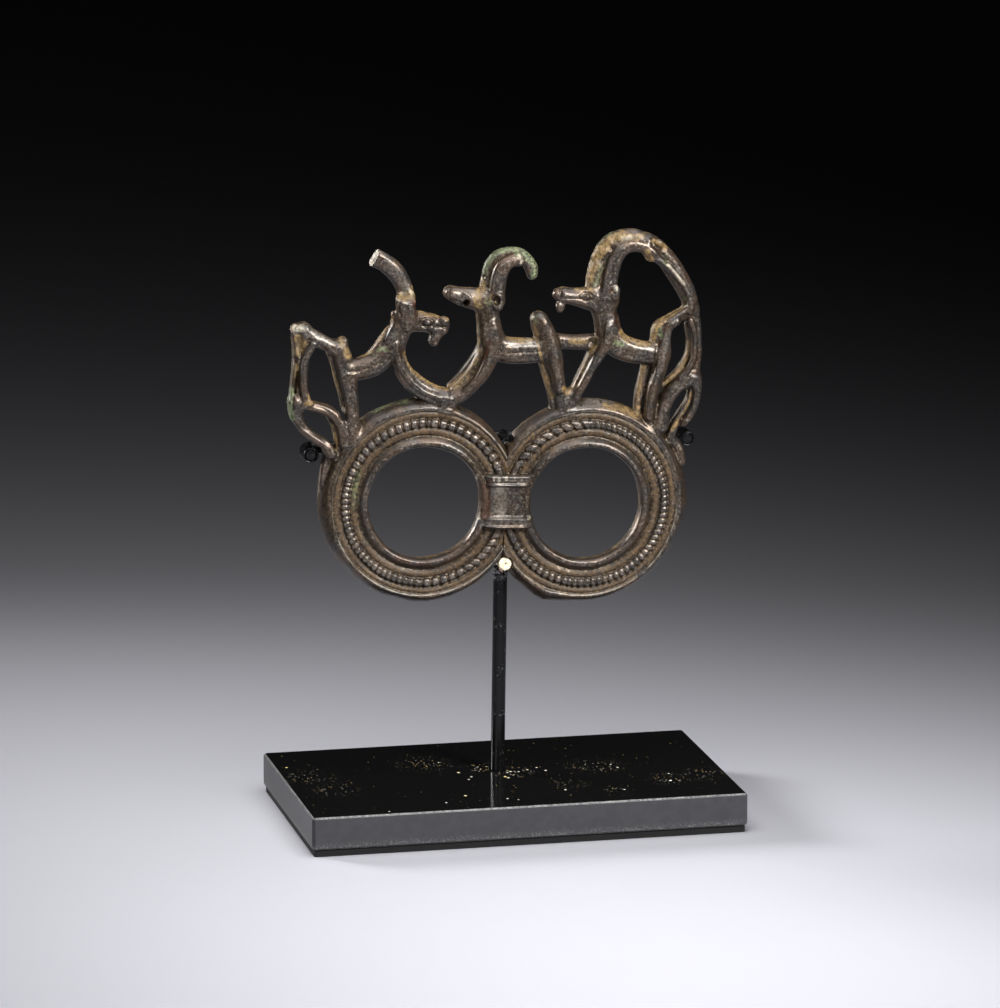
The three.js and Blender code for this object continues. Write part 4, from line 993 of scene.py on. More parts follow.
# Stains, painted highlights and painted shade on the front, as the camera sees them: share, half width and points
STAINS_AND_PAINTED_LIGHT = {
    # Painted highlights: pale strokes where the lights glint on ridges, bodies, lit flanks and the collar
    "painted_highlight": [
        (0.9, 1.3, [(-59.5, 49.4), (-56.5, 47.8), (-53.5, 46.2)]),
        (0.7, 1.3, [(33.0, 46.4), (38.0, 45.4), (42.0, 45.0)]),
        (0.7, 1.1, [(44.8, 49.0), (44.6, 44.0), (43.4, 39.0)]),
        (0.7, 1.5, [(-16.0, 60.4), (-12.0, 60.4), (-9.0, 60.6)]),
        (0.8, 1.5, [(20.5, 29.6), (24.5, 30.2), (29.0, 29.2)]),
        (0.8, 2.4, [(-2.4, 3.6), (-1.6, 0.0), (-2.0, -2.8)]),
        (0.7, 1.0, [(-6.0, 7.3), (6.4, 7.2)]),
        (0.6, 0.9, [(-6.0, -5.7), (6.6, -5.7)]),
        (0.6, 1.2, [(-1.0, 46.0), (4.0, 46.2), (7.5, 46.6)]),
        (0.6, 1.1, [(-41.5, 40.6), (-37.5, 44.6), (-35.2, 48.6)]),
        (0.6, 1.0, [(-31.6, 41.6), (-28.2, 36.4), (-23.0, 32.4)]),
        (0.6, 1.0, [(46.0, 69.0), (49.4, 64.4), (51.6, 59.6)]),
        (0.6, 1.1, [(-37.6, 69.2), (-34.4, 66.2), (-32.4, 62.6)]),
    ],
    # Painted shade along grooves, valleys, eye and ear holes and flanks turned from the lights, with some dark patina
    # patches
    "dark": [
        (0.6, 1.5, [(-7.0, 4.2), (-6.8, 0.8), (-6.8, -2.6)]),
        (0.9, 1.0, [(-9.8, 54.6), (-9.6, 50.0), (-9.2, 47.0), (-8.8, 44.4), (-10.0, 41.4), (-12.3, 38.0), (-15.0, 34.8)]),
        (0.8, 0.8, [(-7.8, 62.0), (-8.2, 66.0), (-7.2, 69.2), (-5.0, 71.6), (-2.4, 72.4)]),
        (0.7, 1.2, [(-9.6, 60.6), (-9.2, 56.6), (-8.6, 53.4)]),
        (0.7, 1.0, [(7.4, 52.6), (8.2, 49.4), (9.2, 45.4), (10.4, 41.4), (11.4, 37.6), (12.4, 34.0)]),
        (0.7, 0.9, [(-63.0, 42.0), (-62.8, 38.0), (-63.2, 33.6)]),
        (0.7, 0.9, [(-36.8, 46.6), (-36.0, 43.6), (-34.6, 40.4)]),
        (0.8, 0.9, [(25.9, 53.2), (26.0, 50.2), (25.4, 47.4), (24.0, 45.0), (22.2, 42.0), (20.6, 38.4), (19.2, 34.8)]),
        (0.7, 1.0, [(42.2, 47.6), (41.8, 43.6), (41.4, 39.6), (40.8, 35.6), (40.2, 30.0)]),
        (0.7, 0.8, [(24.0, 63.6), (24.6, 67.0), (25.6, 71.0), (27.2, 74.0), (30.0, 76.2), (33.6, 77.0)]),
        (0.6, 0.8, [(51.2, 51.0), (51.8, 47.0), (51.6, 43.0), (50.0, 39.4)]),
        (0.6, 0.8, [(41.4, 70.0), (44.4, 67.4), (47.6, 64.0), (49.9, 60.6)]),
        (0.6, 1.2, [(22.6, 48.0), (22.4, 45.6)]),
        (0.6, 0.9, [(-47.6, 40.8), (-46.4, 37.4)]),
        (1.0, 0.9, [(-14.7, 57.9), (-14.4, 58.4)]),
        (1.0, 1.0, [(-6.3, 59.7), (-6.2, 58.3)]),
        (1.0, 0.6, [(-9.5, 66.0), (-9.3, 65.4)]),
        (0.5, 1.1, [(-12.4, 13.3), (-8.5, 8.7), (-6.8, 4.6)]),
        (0.4, 1.0, [(-38.7, 8.7), (-35.9, 12.3), (-32.3, 15.1)]),
        (0.6, 1.2, [(7.6, -4.5), (7.0, 0.0), (7.4, 4.5), (9.1, 8.7), (11.9, 12.3)]),
        (0.75, 1.7, [(-50.2, -9.9), (-52.2, 0.0), (-51.4, 7.5), (-48.6, 14.2)]),
        (0.5, 1.4, [(4.6, 3.6), (5.6, 0.0), (5.0, -3.0)]),
    ],
    "green": [
        (0.9, 1.0, [(-64.0, 33.0), (-64.0, 27.0), (-63.2, 24.6)]),
        (0.9, 1.0, [(-9.6, 66.6), (-8.8, 70.0), (-6.4, 72.8), (-3.0, 74.0), (0.6, 74.0)]),
        (0.8, 1.8, [(0.0, 73.2), (3.0, 72.2), (5.0, 70.0), (5.6, 67.6), (4.8, 65.6)]),
        (0.5, 1.0, [(-40.4, 43.4), (-38.4, 44.8), (-36.8, 44.2)]),
        (0.8, 0.9, [(41.6, 52.0), (42.6, 50.4), (43.0, 48.8)]),
        (0.6, 1.2, [(22.6, 64.0), (23.6, 66.8), (24.2, 69.4)]),
        (0.6, 1.0, [(23.0, 74.6), (24.6, 77.4), (26.6, 79.0)]),
        (0.6, 1.2, [(29.6, 47.2), (31.6, 46.6)]),
        (0.5, 1.1, [(-40.2, 26.6), (-36.8, 28.6), (-33.2, 29.6), (-29.0, 29.9)]),
        (0.5, 1.2, [(-7.0, 58.2), (-8.6, 58.8)]),
        (0.5, 1.0, [(5.6, 54.4), (6.0, 52.4)]),
        (0.5, 1.0, [(43.4, 72.4), (42.6, 70.8), (44.0, 69.0)]),
        (0.5, 1.0, [(49.6, 60.2), (49.8, 58.2)]),
        (0.5, 1.5, [(-43.6, 9.4), (-44.4, 4.0), (-44.0, -1.0)]),
    ],
    "ochre": [
        (1.0, 1.2, [(-31.2, 43.4), (-28.6, 39.0), (-25.0, 36.0), (-21.4, 34.4), (-18.4, 33.8), (-16.0, 35.0), (-13.4, 37.4)]),
        (0.8, 1.0, [(-39.6, 47.2), (-37.8, 50.6), (-36.2, 53.6)]),
        (0.8, 0.8, [(-28.2, 55.8), (-25.6, 54.9), (-22.4, 54.3), (-19.8, 53.6)]),
        (0.9, 1.6, [(-33.4, 60.0), (-30.6, 60.4)]),
        (0.8, 0.9, [(-30.2, 62.6), (-29.0, 58.6), (-28.0, 56.4)]),
        (0.9, 1.3, [(-62.8, 47.6), (-61.2, 46.0), (-62.4, 43.4)]),
        (0.7, 0.8, [(-62.6, 40.0), (-62.8, 36.4)]),
        (1.0, 0.7, [(-59.4, 28.8), (-58.0, 28.8)]),
        (0.8, 0.6, [(-58.6, 31.6), (-58.4, 29.8)]),
        (0.8, 0.6, [(-51.8, 22.6), (-50.6, 18.6), (-50.2, 15.6)]),
        (0.7, 0.6, [(-53.6, 41.0), (-51.8, 36.6), (-50.0, 32.0)]),
        (0.8, 1.2, [(-50.6, 47.0), (-49.0, 44.6), (-47.8, 42.6)]),
        (0.7, 0.7, [(-46.4, 43.0), (-43.6, 43.2), (-41.6, 44.0)]),
        (0.8, 1.5, [(-10.6, 64.2), (-10.6, 61.8), (-11.2, 59.8), (-10.8, 57.6)]),
        (0.7, 0.7, [(-11.4, 54.6), (-10.8, 50.4), (-10.2, 46.6)]),
        (0.9, 0.8, [(-9.8, 44.6), (-11.2, 41.2), (-13.4, 38.2), (-16.0, 35.6)]),
        (0.9, 1.2, [(-1.6, 48.2), (1.4, 47.8), (4.4, 48.0), (6.2, 49.8)]),
        (0.8, 0.6, [(5.6, 52.4), (6.3, 48.8), (7.7, 44.6), (8.6, 41.6)]),
        (0.9, 1.0, [(15.4, 33.6), (16.4, 32.6), (17.4, 33.8)]),
        (0.9, 0.8, [(8.6, 40.4), (9.6, 37.6), (10.8, 34.4), (12.0, 31.4)]),
        (0.5, 0.6, [(-7.2, 60.6), (-7.6, 58.8)]),
        (1.0, 1.8, [(20.8, 65.2), (21.8, 68.6), (22.8, 72.0), (24.6, 74.4), (27.0, 76.8), (30.0, 78.0)]),
        (0.8, 1.2, [(31.0, 77.6), (34.0, 77.6), (36.0, 78.4)]),
        (1.0, 1.1, [(37.4, 73.6), (38.2, 72.0), (39.0, 71.2)]),
        (0.9, 0.9, [(39.4, 76.6), (41.4, 75.8), (43.0, 74.6)]),
        (0.9, 1.1, [(31.4, 50.2), (33.6, 48.2), (37.0, 47.2), (39.6, 46.8)]),
        (1.0, 1.1, [(40.6, 48.2), (41.2, 51.6), (43.6, 54.0), (46.6, 56.4), (48.6, 58.0)]),
        (0.9, 0.8, [(38.4, 40.2), (37.8, 36.0), (37.2, 31.4), (37.4, 28.4)]),
        (1.0, 0.8, [(51.4, 47.6), (51.4, 44.0), (50.0, 40.8), (47.6, 37.8), (45.0, 35.2)]),
        (0.9, 0.7, [(53.0, 32.4), (52.0, 28.6), (50.0, 25.4), (48.0, 22.0)]),
        (0.8, 0.9, [(24.0, 48.6), (23.4, 46.0), (22.0, 43.0), (20.4, 38.6)]),
        (0.8, 1.3, [(27.8, 28.8), (33.0, 27.8), (37.6, 26.0)]),
        (0.8, 1.0, [(16.6, 47.6), (21.0, 47.4)]),
        (0.6, 1.2, [(17.4, 62.8), (20.4, 63.0), (22.2, 62.0)]),
    ],
    "red": [
        (1.3, 1.9, [(-6.6, 4.2), (-6.2, 0.8), (-6.2, -2.6)]),
        (0.7, 0.9, [(-4.8, 6.8), (-5.8, 6.4)]),
        (1.0, 0.8, [(-7.4, 46.8), (-7.8, 44.4), (-9.0, 41.6)]),
        (0.9, 0.8, [(-30.0, 58.4), (-29.2, 57.4)]),
        (0.7, 0.8, [(-28.8, 56.0), (-28.6, 54.4)]),
        (0.6, 1.0, [(-38.6, 43.4), (-37.0, 42.6)]),
        (0.8, 0.7, [(27.8, 62.6), (27.6, 61.6)]),
        (0.6, 1.2, [(24.0, 51.8), (24.2, 49.6)]),
        (0.6, 1.3, [(29.0, 54.6), (30.4, 52.4)]),
        (0.5, 1.2, [(46.6, 70.2), (48.6, 67.6), (50.0, 65.2)]),
        (0.6, 1.2, [(53.2, 38.6), (53.6, 42.0)]),
        (0.5, 1.0, [(-33.0, 44.4), (-31.4, 41.4)]),
        (0.5, 1.6, [(-32.2, -16.2), (-26.0, -18.0), (-20.0, -17.4), (-14.0, -15.0)]),
        (0.4, 1.0, [(10.6, 44.0), (11.4, 39.0), (12.4, 35.0)]),
    ],
    "pale": [
        (0.45, 0.45, [(-34.2, 58.8), (-32.2, 58.0), (-30.2, 58.6)]),
        (0.5, 0.8, [(-33.6, 61.0), (-31.8, 61.8), (-30.2, 61.0)]),
        (0.75, 1.5, [(-63.4, 50.6), (-61.6, 50.6)]),
        (0.35, 0.4, [(-35.2, 58.0), (-34.9, 56.0)]),
        (0.8, 0.7, [(-41.0, 72.8), (-42.6, 69.4)]),
        (1.0, 0.5, [(-2.3, 7.2), (-2.3, 6.7)]),
        (1.0, 0.5, [(-0.2, 7.5), (-0.2, 6.9)]),
        (0.8, 0.4, [(-3.9, 7.5), (-3.8, 6.8)]),
        (0.8, 0.4, [(2.2, 7.4), (2.2, 6.8)]),
        (0.7, 0.4, [(4.3, 7.3), (4.3, 6.8)]),
        (0.9, 0.6, [(-8.7, 8.2), (-8.8, 7.4)]),
        (0.9, 0.6, [(-7.7, -3.6), (-7.6, -4.2)]),
        (0.9, 0.6, [(7.0, -3.8), (7.0, -4.4)]),
        (0.35, 1.6, [(-1.8, 4.0), (-1.2, 1.0), (-1.0, -2.0)]),
        (0.3, 0.8, [(-4.0, 60.4), (-3.7, 58.8), (-4.6, 57.2)]),
        (0.6, 0.5, [(0.0, 72.2), (1.2, 71.2), (0.8, 69.8)]),
        (0.8, 0.7, [(29.0, 63.2), (28.8, 62.4)]),
        (0.6, 0.9, [(30.2, 77.2), (32.4, 77.6)]),
        (0.6, 0.8, [(44.0, 69.6), (46.2, 67.2), (48.8, 64.4)]),
        (0.7, 0.7, [(-48.8, 27.4), (-48.6, 26.2)]),
        (0.5, 1.2, [(4.0, 48.0), (4.6, 47.4)]),
    ],
}

# Where the skin is rough with crust
CRUST = [
    (1.0, 2.0, [(21.4, 65.0), (22.6, 69.4), (24.0, 73.0), (26.6, 76.2), (30.0, 78.0)]),
    (0.7, 1.4, [(33.0, 78.0), (38.0, 76.6), (42.6, 74.8)]),
    (1.0, 1.8, [(-33.6, 59.4), (-31.0, 60.2)]),
    (1.0, 1.6, [(-63.0, 50.2), (-61.6, 50.2)]),
    (0.8, 1.3, [(-6.8, 60.4), (-6.4, 58.8)]),
    (0.8, 1.3, [(1.0, 71.4), (1.4, 69.8)]),
    (0.7, 1.6, [(-20.4, 28.6), (-15.0, 28.0)]),
    (0.6, 1.4, [(-42.2, 71.0), (-41.6, 70.0)]),
    (0.7, 1.2, [(37.6, 73.4), (39.0, 71.6)]),
]


def surface_of(field, label):
    """The walls between labels, by surface nets: a vertex in each cell that a wall crosses, the quads, and the labels before and behind each quad."""
    corners = [(i, j, k) for i in (0, 1) for j in (0, 1) for k in (0, 1)]
    size = [n - 1 for n in field.shape]
    views = [label[tuple(slice(c, c + n) for c, n in zip(corner, size))] for corner in corners]
    where = np.nonzero(np.minimum.reduce(views) != np.maximum.reduce(views))
    level = {corner: field[tuple(w + c for w, c in zip(where, corner))] for corner in corners}
    named = {corner: label[tuple(w + c for w, c in zip(where, corner))] for corner in corners}
    skin, walls = np.zeros((len(where[0]), 4), np.float32), np.zeros((len(where[0]), 4), np.float32)
    for a in corners:
        for axis in range(3):
            if a[axis]:
                continue
            b = tuple(c + (n == axis) for n, c in enumerate(a))
            crosses = (named[a] == 0) != (named[b] == 0)
            differs = named[a] != named[b]
            t = np.where(crosses, level[a] / np.where(crosses, level[a] - level[b], 1), 0.5)
            place = np.ones((len(t), 4), np.float32)
            place[:, :3] = np.array(a, np.float32) + t[:, None] * np.eye(3, dtype=np.float32)[axis]
            skin += place * crosses[:, None]
            walls += place * differs[:, None]
    total = np.where(skin[:, 3:] > 0, skin, walls)
    vertices = np.stack(where, 1) + total[:, :3] / total[:, 3:]
    number = np.full(size, -1, np.int32)
    number[where] = np.arange(len(where[0]))
    quads, sides = [], []
    for axis in range(3):
        u, v = (axis + 1) % 3, (axis + 2) % 3
        low, high = [slice(None)] * 3, [slice(None)] * 3
        low[axis], high[axis] = slice(None, -1), slice(1, None)
        edge = np.array(np.nonzero(label[tuple(low)] != label[tuple(high)]))
        edge = edge[:, (edge[u] > 0) & (edge[v] > 0) & (edge[u] < size[u]) & (edge[v] < size[v])]
        around = []
        for du, dv in ((-1, 0), (0, 0), (0, -1), (-1, -1)):
            cell = edge.copy()
            cell[u] += du
            cell[v] += dv
            around.append(number[tuple(cell)])
        quads.append(np.stack(around, 1))
        beyond_edge = edge.copy()
        beyond_edge[axis] += 1
        sides.append(np.stack([label[tuple(edge)], label[tuple(beyond_edge)]], 1))
    return vertices, np.concatenate(quads), np.concatenate(sides)


def quads_round(label, quads, sides):
    """The quads round one label, facing out of it."""
    return np.concatenate([quads[sides[:, 0] == label], quads[sides[:, 1] == label][:, ::-1]])


def vertex_normals(points, quads):
    across = np.cross(points[quads[:, 2]] - points[quads[:, 0]], points[quads[:, 3]] - points[quads[:, 1]])
    normals = np.zeros_like(points)
    for corner in range(4):
        for axis in range(3):
            normals[:, axis] += np.bincount(quads[:, corner], across[:, axis], len(points))
    return normals / np.maximum(np.linalg.norm(normals, axis=1, keepdims=True), 1e-9)


def make_piece(name, points, normals, quads, values, material):
    """A mesh object from some of the casting's quads, with values at its vertices for the material."""
    used, flat = np.unique(quads, return_inverse=True)
    mesh = bpy.data.meshes.new(name)
    mesh.vertices.add(len(used))
    mesh.vertices.foreach_set("co", points[used].astype(np.float32).ravel())
    mesh.loops.add(flat.size)
    mesh.loops.foreach_set("vertex_index", flat.astype(np.int32).ravel())
    mesh.polygons.add(len(quads))
    mesh.polygons.foreach_set("loop_start", (np.arange(len(quads)) * 4).astype(np.int32))
    mesh.polygons.foreach_set("use_smooth", np.ones(len(quads), bool))
    mesh.update(calc_edges=True)
    mesh.normals_split_custom_set_from_vertices(normals[used])
    for key, value in values.items():
        mesh.attributes.new(key, "FLOAT", "POINT").data.foreach_set("value", value[used].astype(np.float32))
    mesh.materials.append(material)
    piece = bpy.data.objects.new(name, mesh)
    bpy.context.scene.collection.objects.link(piece)
    return piece


def to_world(points):
    """From the fitting's own frame in millimetres to the object's frame in metres."""
    sin, cos = math.sin(FITTING_LEAN), math.cos(FITTING_LEAN)
    x = FITTING_X + points[:, 0] * cos + points[:, 2] * sin
    z = FITTING_Z - points[:, 0] * sin + points[:, 2] * cos
    return np.stack([x, points[:, 1], z], 1) * MM


FITTING_X = -0.84
FITTING_Z = 93.07
FITTING_LEAN = math.radians(2.9)


def turn_to_world(directions):
    sin, cos = math.sin(FITTING_LEAN), math.cos(FITTING_LEAN)
    x = directions[:, 0] * cos + directions[:, 2] * sin
    z = directions[:, 2] * cos - directions[:, 0] * sin
    return np.stack([x, directions[:, 1], z], 1)


# Room for the four pegs, as x, z and radius
PEG_ROOMS = [(-56.8, 13.3, 2.5), (53.3, 18.75, 2.35), (0.25, 18.6, 1.55), (1.05, -17.9, 2.15)]


def cast():
    """The casting's solid, with its grooves, ridges and rough skin."""
    nodes = ["left_ring", "right_ring", *COLLAR_PIECES, *STRANDS]
    casting = Casting(nodes)
    add_ring(casting, "left_ring", -1, LEFT_REACH)
    add_ring(casting, "right_ring", 1, RIGHT_REACH)
    add_collar(casting)
    for piece, strands in STRANDS.items():
        for points, form in strands:
            casting.strand(piece, points, **form)
    for piece, centre, radii, blend in KNOBS:
        casting.knob(piece, centre, radii, blend)
    relief, crust = Sheet(), Sheet()
    press_notches(relief, -1, LEFT_NOTCHES)
    press_notches(relief, 1, RIGHT_NOTCHES)
    for height, width, points in GROOVES:
        relief.press(height, width, points)
    for share, width, points in CRUST:
        crust.stain(share, width, points)
    axes = GRID_X, GRID_Z, GRID_Y
    casting.field += 0.10 * lattice_noise(axes, 3.6, 11)
    fine = lattice_noise(axes, 0.95, 12)
    for k, depth in enumerate(GRID_Y):
        front = smoothstep(-depth, 2.4, 3.6)
        casting.field[:, :, k] += front * relief.at_depth(depth) + (0.015 + 0.16 * crust.at_depth(depth)) * fine[:, :, k]
    for centre, radii, blend in HOLLOWS:
        casting.knob(None, centre, radii, blend, hollow=True)
    for x, z, radius in PEG_ROOMS:
        block = span(GRID_X, x - 4, x + 4), span(GRID_Z, z - 4, z + 4)
        away = np.hypot(GRID_X[block[0]][:, None] - x, GRID_Z[block[1]][None, :] - z) - radius
        casting.field[block] = np.maximum(casting.field[block], -away[..., None])
    return casting


def on_rings(points, bands):
    """How much of each place's front is one of these bands of its ring."""
    radius = np.hypot(np.abs(points[:, 0]) - RING_SPACING / 2, points[:, 2])
    share = sum(smoothstep(radius, low - 0.3, low + 0.3) * smoothstep(-radius, -high - 0.3, 0.3 - high)
                for low, high in bands)
    past_collar = np.maximum(np.abs(points[:, 0] - COLLAR_MIDDLE) - 7.4, np.abs(points[:, 2] - 0.7) - 7.6)
    return share * smoothstep(-points[:, 1], 5.8, 6.4) * smoothstep(past_collar, 0, 0.6)


def notches(points):
    """Each place's count of notches along its rib, whole in the middle of a notch, and how much of it is on a rib."""
    turn, rib = np.zeros(len(points)), np.zeros(len(points))
    back = points[:, 1] - FRONT
    x, z = points[:, 0] + SIGHT_X * back, points[:, 2] + SIGHT_Z * back
    for side, rows in ((-1, LEFT_NOTCHES), (1, RIGHT_NOTCHES)):
        across = x - side * RING_SPACING / 2
        radius, angle = np.hypot(across, z), np.degrees(np.arctan2(across, z)) % 360
        on_rib = smoothstep(radius, RIB_INNER - 0.1, RIB_INNER + 0.3) * smoothstep(-radius, -RIB_OUTER - 0.1, 0.3 - RIB_OUTER)
        on_rib = on_rib * smoothstep(-points[:, 1], 6.4, 7.0)
        for start, end, pitch, _, slant in rows:
            within = (angle >= start) & (angle < end)
            turn = np.where(within & (on_rib > 0), (angle - start + slant * (radius - RIB_INNER)) / pitch, turn)
            ends = smoothstep(angle, start, start + 0.5) * smoothstep(-angle, -end, 0.5 - end)
            rib = np.maximum(rib, on_rib * ends * within)
    past_collar = np.maximum(np.abs(points[:, 0] - COLLAR_MIDDLE) - 7.4, np.abs(points[:, 2] - 0.7) - 7.6)
    return turn, rib * smoothstep(past_collar, 0, 0.4)


def make_casting(material):
    casting = cast()
    label = np.where(casting.field < 0, casting.owner + 1, 0).astype(np.int8)
    cells, quads, sides = surface_of(casting.field, label)
    low = np.array([GRID_X[0], GRID_Z[0], GRID_Y[0]])
    points = (low + cells * STEP)[:, [0, 2, 1]]
    normals = vertex_normals(points, quads_round(0, quads, sides)[:, ::-1])
    swell = look_up(box_blur(box_blur(casting.field, 3), 3), *cells.T)
    values = {
        "high": smoothstep(swell, 0.25, 0.75),
        "hollow": smoothstep(-swell, -0.12, 0.22),
        "depth": points[:, 1] - FRONT,
    }
    values["band"] = on_rings(points, OCHRE_BANDS)
    values["turn"], values["rib"] = notches(points)
    for name, strokes in STAINS_AND_PAINTED_LIGHT.items():
        sheet = Sheet()
        for share, width, stroke in strokes:
            sheet.stain(share, width, stroke)
        values[name] = sheet.at(points)
    values["pale"] = np.maximum(values["pale"], 0.5 * on_rings(points, PALE_LINES))
    world, directions = to_world(points), turn_to_world(normals)
    for number, node in enumerate(casting.pieces):
        mine = quads_round(number + 1, quads, sides)
        piece = make_piece(f"{node}_cast", world, directions, mine, values, material)
        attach(piece, "fitting")
        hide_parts(node)


# Where the four pegs hold the fitting, as x, z and the radius of the sleeve on them, in the object's frame
PEGS = {
    "left_sleeve": (-56.9, 109.2, 2.25),
    "right_sleeve": (53.3, 109.1, 2.1),
    "upper_sleeve": (0.35, 111.65, 1.3),
    "lower_sleeve": (-0.7, 75.1, 1.93),
}
SLEEVE_FRONT = -5.4
WIRE_RADIUS = 1.45
BLOCK_TOP = 11.525
ROD_FOOT = (-0.75, 3.5)
ROD_LEAN = 0.8 / 56.6


def add_part(name, node, rows, material, closed=True):
    """A part of the stand from rows of points in millimetres: a loop of rows, or a bar with flat ends."""
    count, sides = rows.shape[:2]
    number = np.arange(count * sides).reshape(count, sides)
    ahead = np.roll(number, -1, 0)
    quads = np.stack([number, np.roll(number, -1, 1), np.roll(ahead, -1, 1), ahead], 2)
    if closed:
        quads = quads.reshape(-1, 4)
    else:
        half = np.arange(sides // 2 - 1)
        end = np.stack([half, half + 1, sides - 2 - half, sides - 1 - half], 1)
        quads = np.concatenate([quads[:-1].reshape(-1, 4), end[:, ::-1], end + (count - 1) * sides])
    points = rows.reshape(-1, 3) * MM
    if volume_of(points, quads) < 0:
        quads = quads[:, ::-1]
    piece = make_piece(name, points, vertex_normals(points, quads), quads, {}, material)
    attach(piece, "stand")
    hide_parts(node)


def volume_of(points, quads):
    a, b, c, d = (points[quads[:, k]] for k in range(4))
    return (np.einsum("ij,ij->i", a, np.cross(b, c)) + np.einsum("ij,ij->i", a, np.cross(c, d))).sum() / 6


def round_steps(count):
    return np.linspace(0, 2 * np.pi, count, endpoint=False)


def wire_rows(stations, sides=24):
    """Rows of points round a wire through stations of [x, y, z, radius]."""
    path = curve_through(stations, 8)
    along = np.gradient(path[:, :3], axis=0)
    along /= np.linalg.norm(along, axis=1, keepdims=True)
    out = np.cross(along, [0, 0, 1])
    out /= np.linalg.norm(out, axis=1, keepdims=True)
    up = np.cross(out, along)
    turn = round_steps(sides)[None, :, None]
    return path[:, None, :3] + path[:, None, 3:] * (np.cos(turn) * up[:, None] + np.sin(turn) * out[:, None])


def turned_rows(profile, x, z, sides=48):
    """Rows of points of a profile of [radius, y], turned about a line along y."""
    turn = round_steps(sides)
    radius, y = np.array(profile, float).T[:, :, None]
    return np.stack([x + radius * np.sin(turn), y + 0 * turn, z + radius * np.cos(turn)], 2)


def tube_profile(radius, bore, back, front):
    """A tube's section whose front edge is rolled round."""
    thick = (radius - bore) / 2
    steps = np.linspace(0, np.pi, 9)
    edge = [(radius - thick - thick * math.cos(a), front + thick - thick * math.sin(a)) for a in steps]
    return [(bore, back), (bore, front + 2.4), *edge, (radius, front + 2.2), (radius - 0.08, front + 3.2), (radius, back)]


def add_sleeves(rubber, cream):
    for node, bore in (("left_sleeve", 1.72), ("right_sleeve", 1.6), ("upper_sleeve", 1.0)):
        x, z, radius = PEGS[node]
        add_part(f"{node}_tube", node, turned_rows(tube_profile(radius, bore, 1.2, SLEEVE_FRONT), x, z), rubber)
    x, z, radius = PEGS["lower_sleeve"]
    front = SLEEVE_FRONT - 1.3
    profile = [
        (0.2, front + 0.9), (0.2, front + 0.14), (0.7, front + 0.03), (1.2, front), (radius - 0.35, front + 0.03),
        (radius - 0.12, front + 0.12), (radius - 0.02, front + 0.32), (radius, front + 0.7), (radius - 0.06, front + 3),
        (radius, 0.5), (radius - 0.2, 0.75), (1.35, 0.8), (1.3, front + 1.0), (1.2, front + 0.95),
    ]
    add_part("lower_sleeve_disc", "lower_sleeve", turned_rows(profile, x, z), cream)


def add_cross_wire(coat):
    """The wire behind the fitting, whose ends come forward as pegs, with shrink tube round its bends."""
    left, right = PEGS["left_sleeve"], PEGS["right_sleeve"]
    thick = WIRE_RADIUS + 0.5
    stations = [
        [left[0], -4.8, left[1], WIRE_RADIUS - 0.2], [left[0], -4.6, left[1], WIRE_RADIUS],
        [left[0], 0.6, left[1], WIRE_RADIUS], [left[0], 1.5, left[1], WIRE_RADIUS], [left[0], 1.8, left[1], thick],
        [left[0] + 0.6, 3.6, left[1] + 0.05, thick], [left[0] + 2.8, 4.7, left[1] + 0.1, thick],
        [left[0] + 6.6, 4.7, left[1] + 0.2, thick], [left[0] + 7.2, 4.7, left[1] + 0.2, WIRE_RADIUS],
        [-28, 4.7, 110.0, WIRE_RADIUS], [0, 4.7, 110.3, WIRE_RADIUS], [28, 4.7, 109.4, WIRE_RADIUS],
        [right[0] - 7.0, 4.7, 108.6, WIRE_RADIUS], [right[0] - 6.4, 4.7, 108.6, thick - 0.1],
        [right[0] - 3.4, 4.7, 108.6, thick - 0.1], [right[0] - 0.8, 3.6, 109.05, thick - 0.1],
        [right[0], 1.8, right[1], thick - 0.1], [right[0], 1.5, right[1], WIRE_RADIUS],
        [right[0], 0.6, right[1], WIRE_RADIUS], [right[0], -4.6, right[1], WIRE_RADIUS],
        [right[0], -4.8, right[1], WIRE_RADIUS - 0.2],
    ]
    add_part("cross_wire_bar", "cross_wire", wire_rows(stations), coat, closed=False)


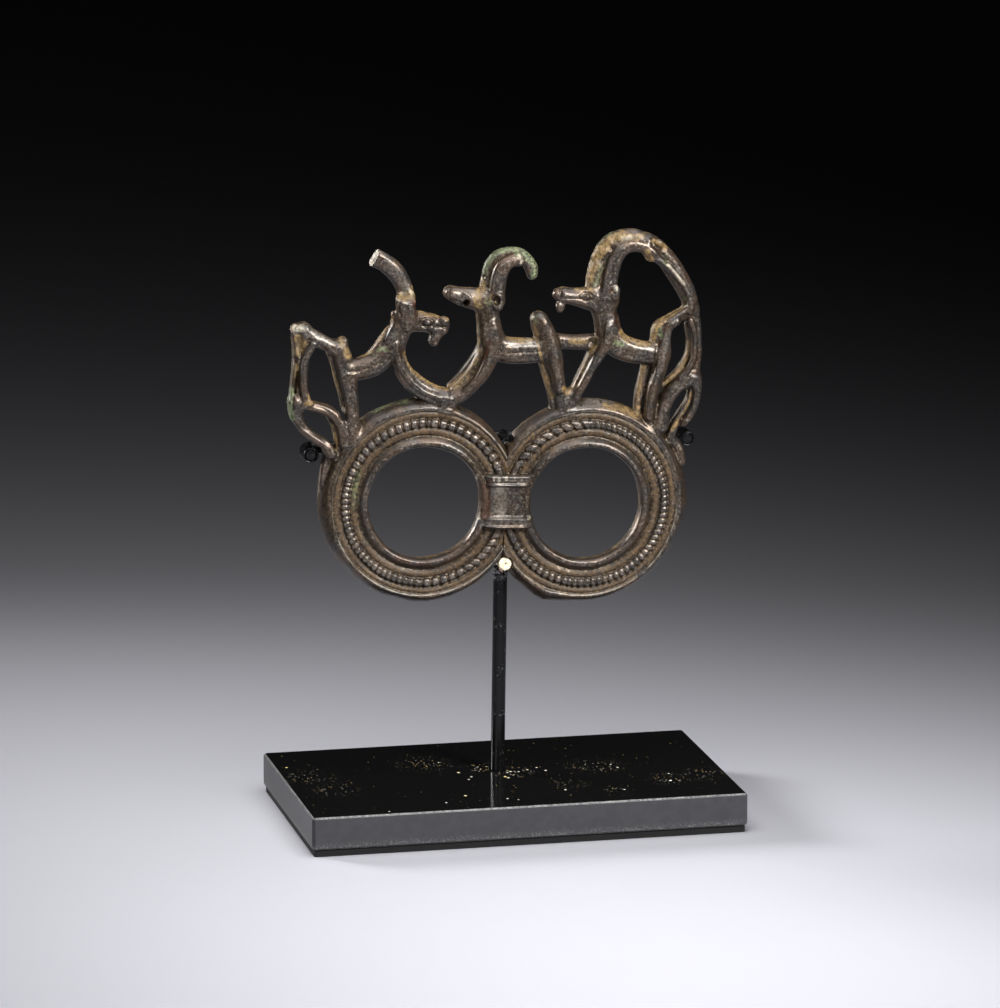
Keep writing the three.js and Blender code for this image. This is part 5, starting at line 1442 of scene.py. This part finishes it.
def add_sheath(rubber):
    """The shrink tube on the rod, torn open at its top where the lower peg comes out."""
    turn = round_steps(60)
    draw = np.random.default_rng(5)
    jags, flare = draw.uniform(-0.5, 0.5, 21), draw.uniform(0.05, 0.35, 21)
    jags, flare = (np.interp(turn, np.linspace(0, 2 * np.pi, 22), np.append(v, v[0])) for v in (jags, flare))
    rim = 70.6 + 2.2 * np.exp(-((turn - 3.3) / 0.7) ** 2) + 1.2 * np.exp(-((turn - 5.9) / 0.5) ** 2) + jags
    bottom, bend, outer, inner = BLOCK_TOP + 0.3, 66.5, 2.03, 1.65
    rows = [(inner, bottom), (outer - 0.1, bottom), (outer, bottom + 0.15), (outer, 30.0), (outer, 50.0)]
    steps = np.linspace(0, 1, 10)
    rows += [(outer + flare * t * t, bend + (rim - bend) * t) for t in steps]
    rows += [(inner + flare * t * t + 0.1 * t, bend + (rim - bend) * t + 0.1) for t in steps[::-1]]
    radius, z = (np.array([row[k] + 0 * turn for row in rows]) for k in (0, 1))
    x = ROD_FOOT[0] + (z - BLOCK_TOP) * ROD_LEAN + radius * np.cos(turn)
    points = np.stack([x, ROD_FOOT[1] + radius * np.sin(turn), z], 2)
    add_part("rod_sheath_tube", "rod_sheath", points, rubber)


def dress(node, material):
    """Gives a CAD node that stays its material."""
    mesh = frame["nodes"][node].data
    mesh.materials.clear()
    mesh.materials.append(material)


make_camera()
make_stage()

BRONZE = bronze_material()
STAND = {
    "base_block": acrylic_material(),
    "felt_pad": felt_material(),
    "rod_sheath": shrink_tube_material(),
    "mount_rod": black_coat_material(),
    "lower_sleeve": cream_material(),
    "lower_peg": bare_metal_material(),
}
for node in ("cross_wire", "spine_wire", "upper_peg"):
    STAND[node] = STAND["mount_rod"]
for node in ("left_sleeve", "right_sleeve", "upper_sleeve"):
    STAND[node] = STAND["rod_sheath"]
for node, material in STAND.items():
    dress(node, material)
add_sleeves(STAND["rod_sheath"], STAND["lower_sleeve"])
add_cross_wire(STAND["mount_rod"])
add_sheath(STAND["rod_sheath"])
make_casting(BRONZE)
keep_off_the_floor("key_light", "fill_light")
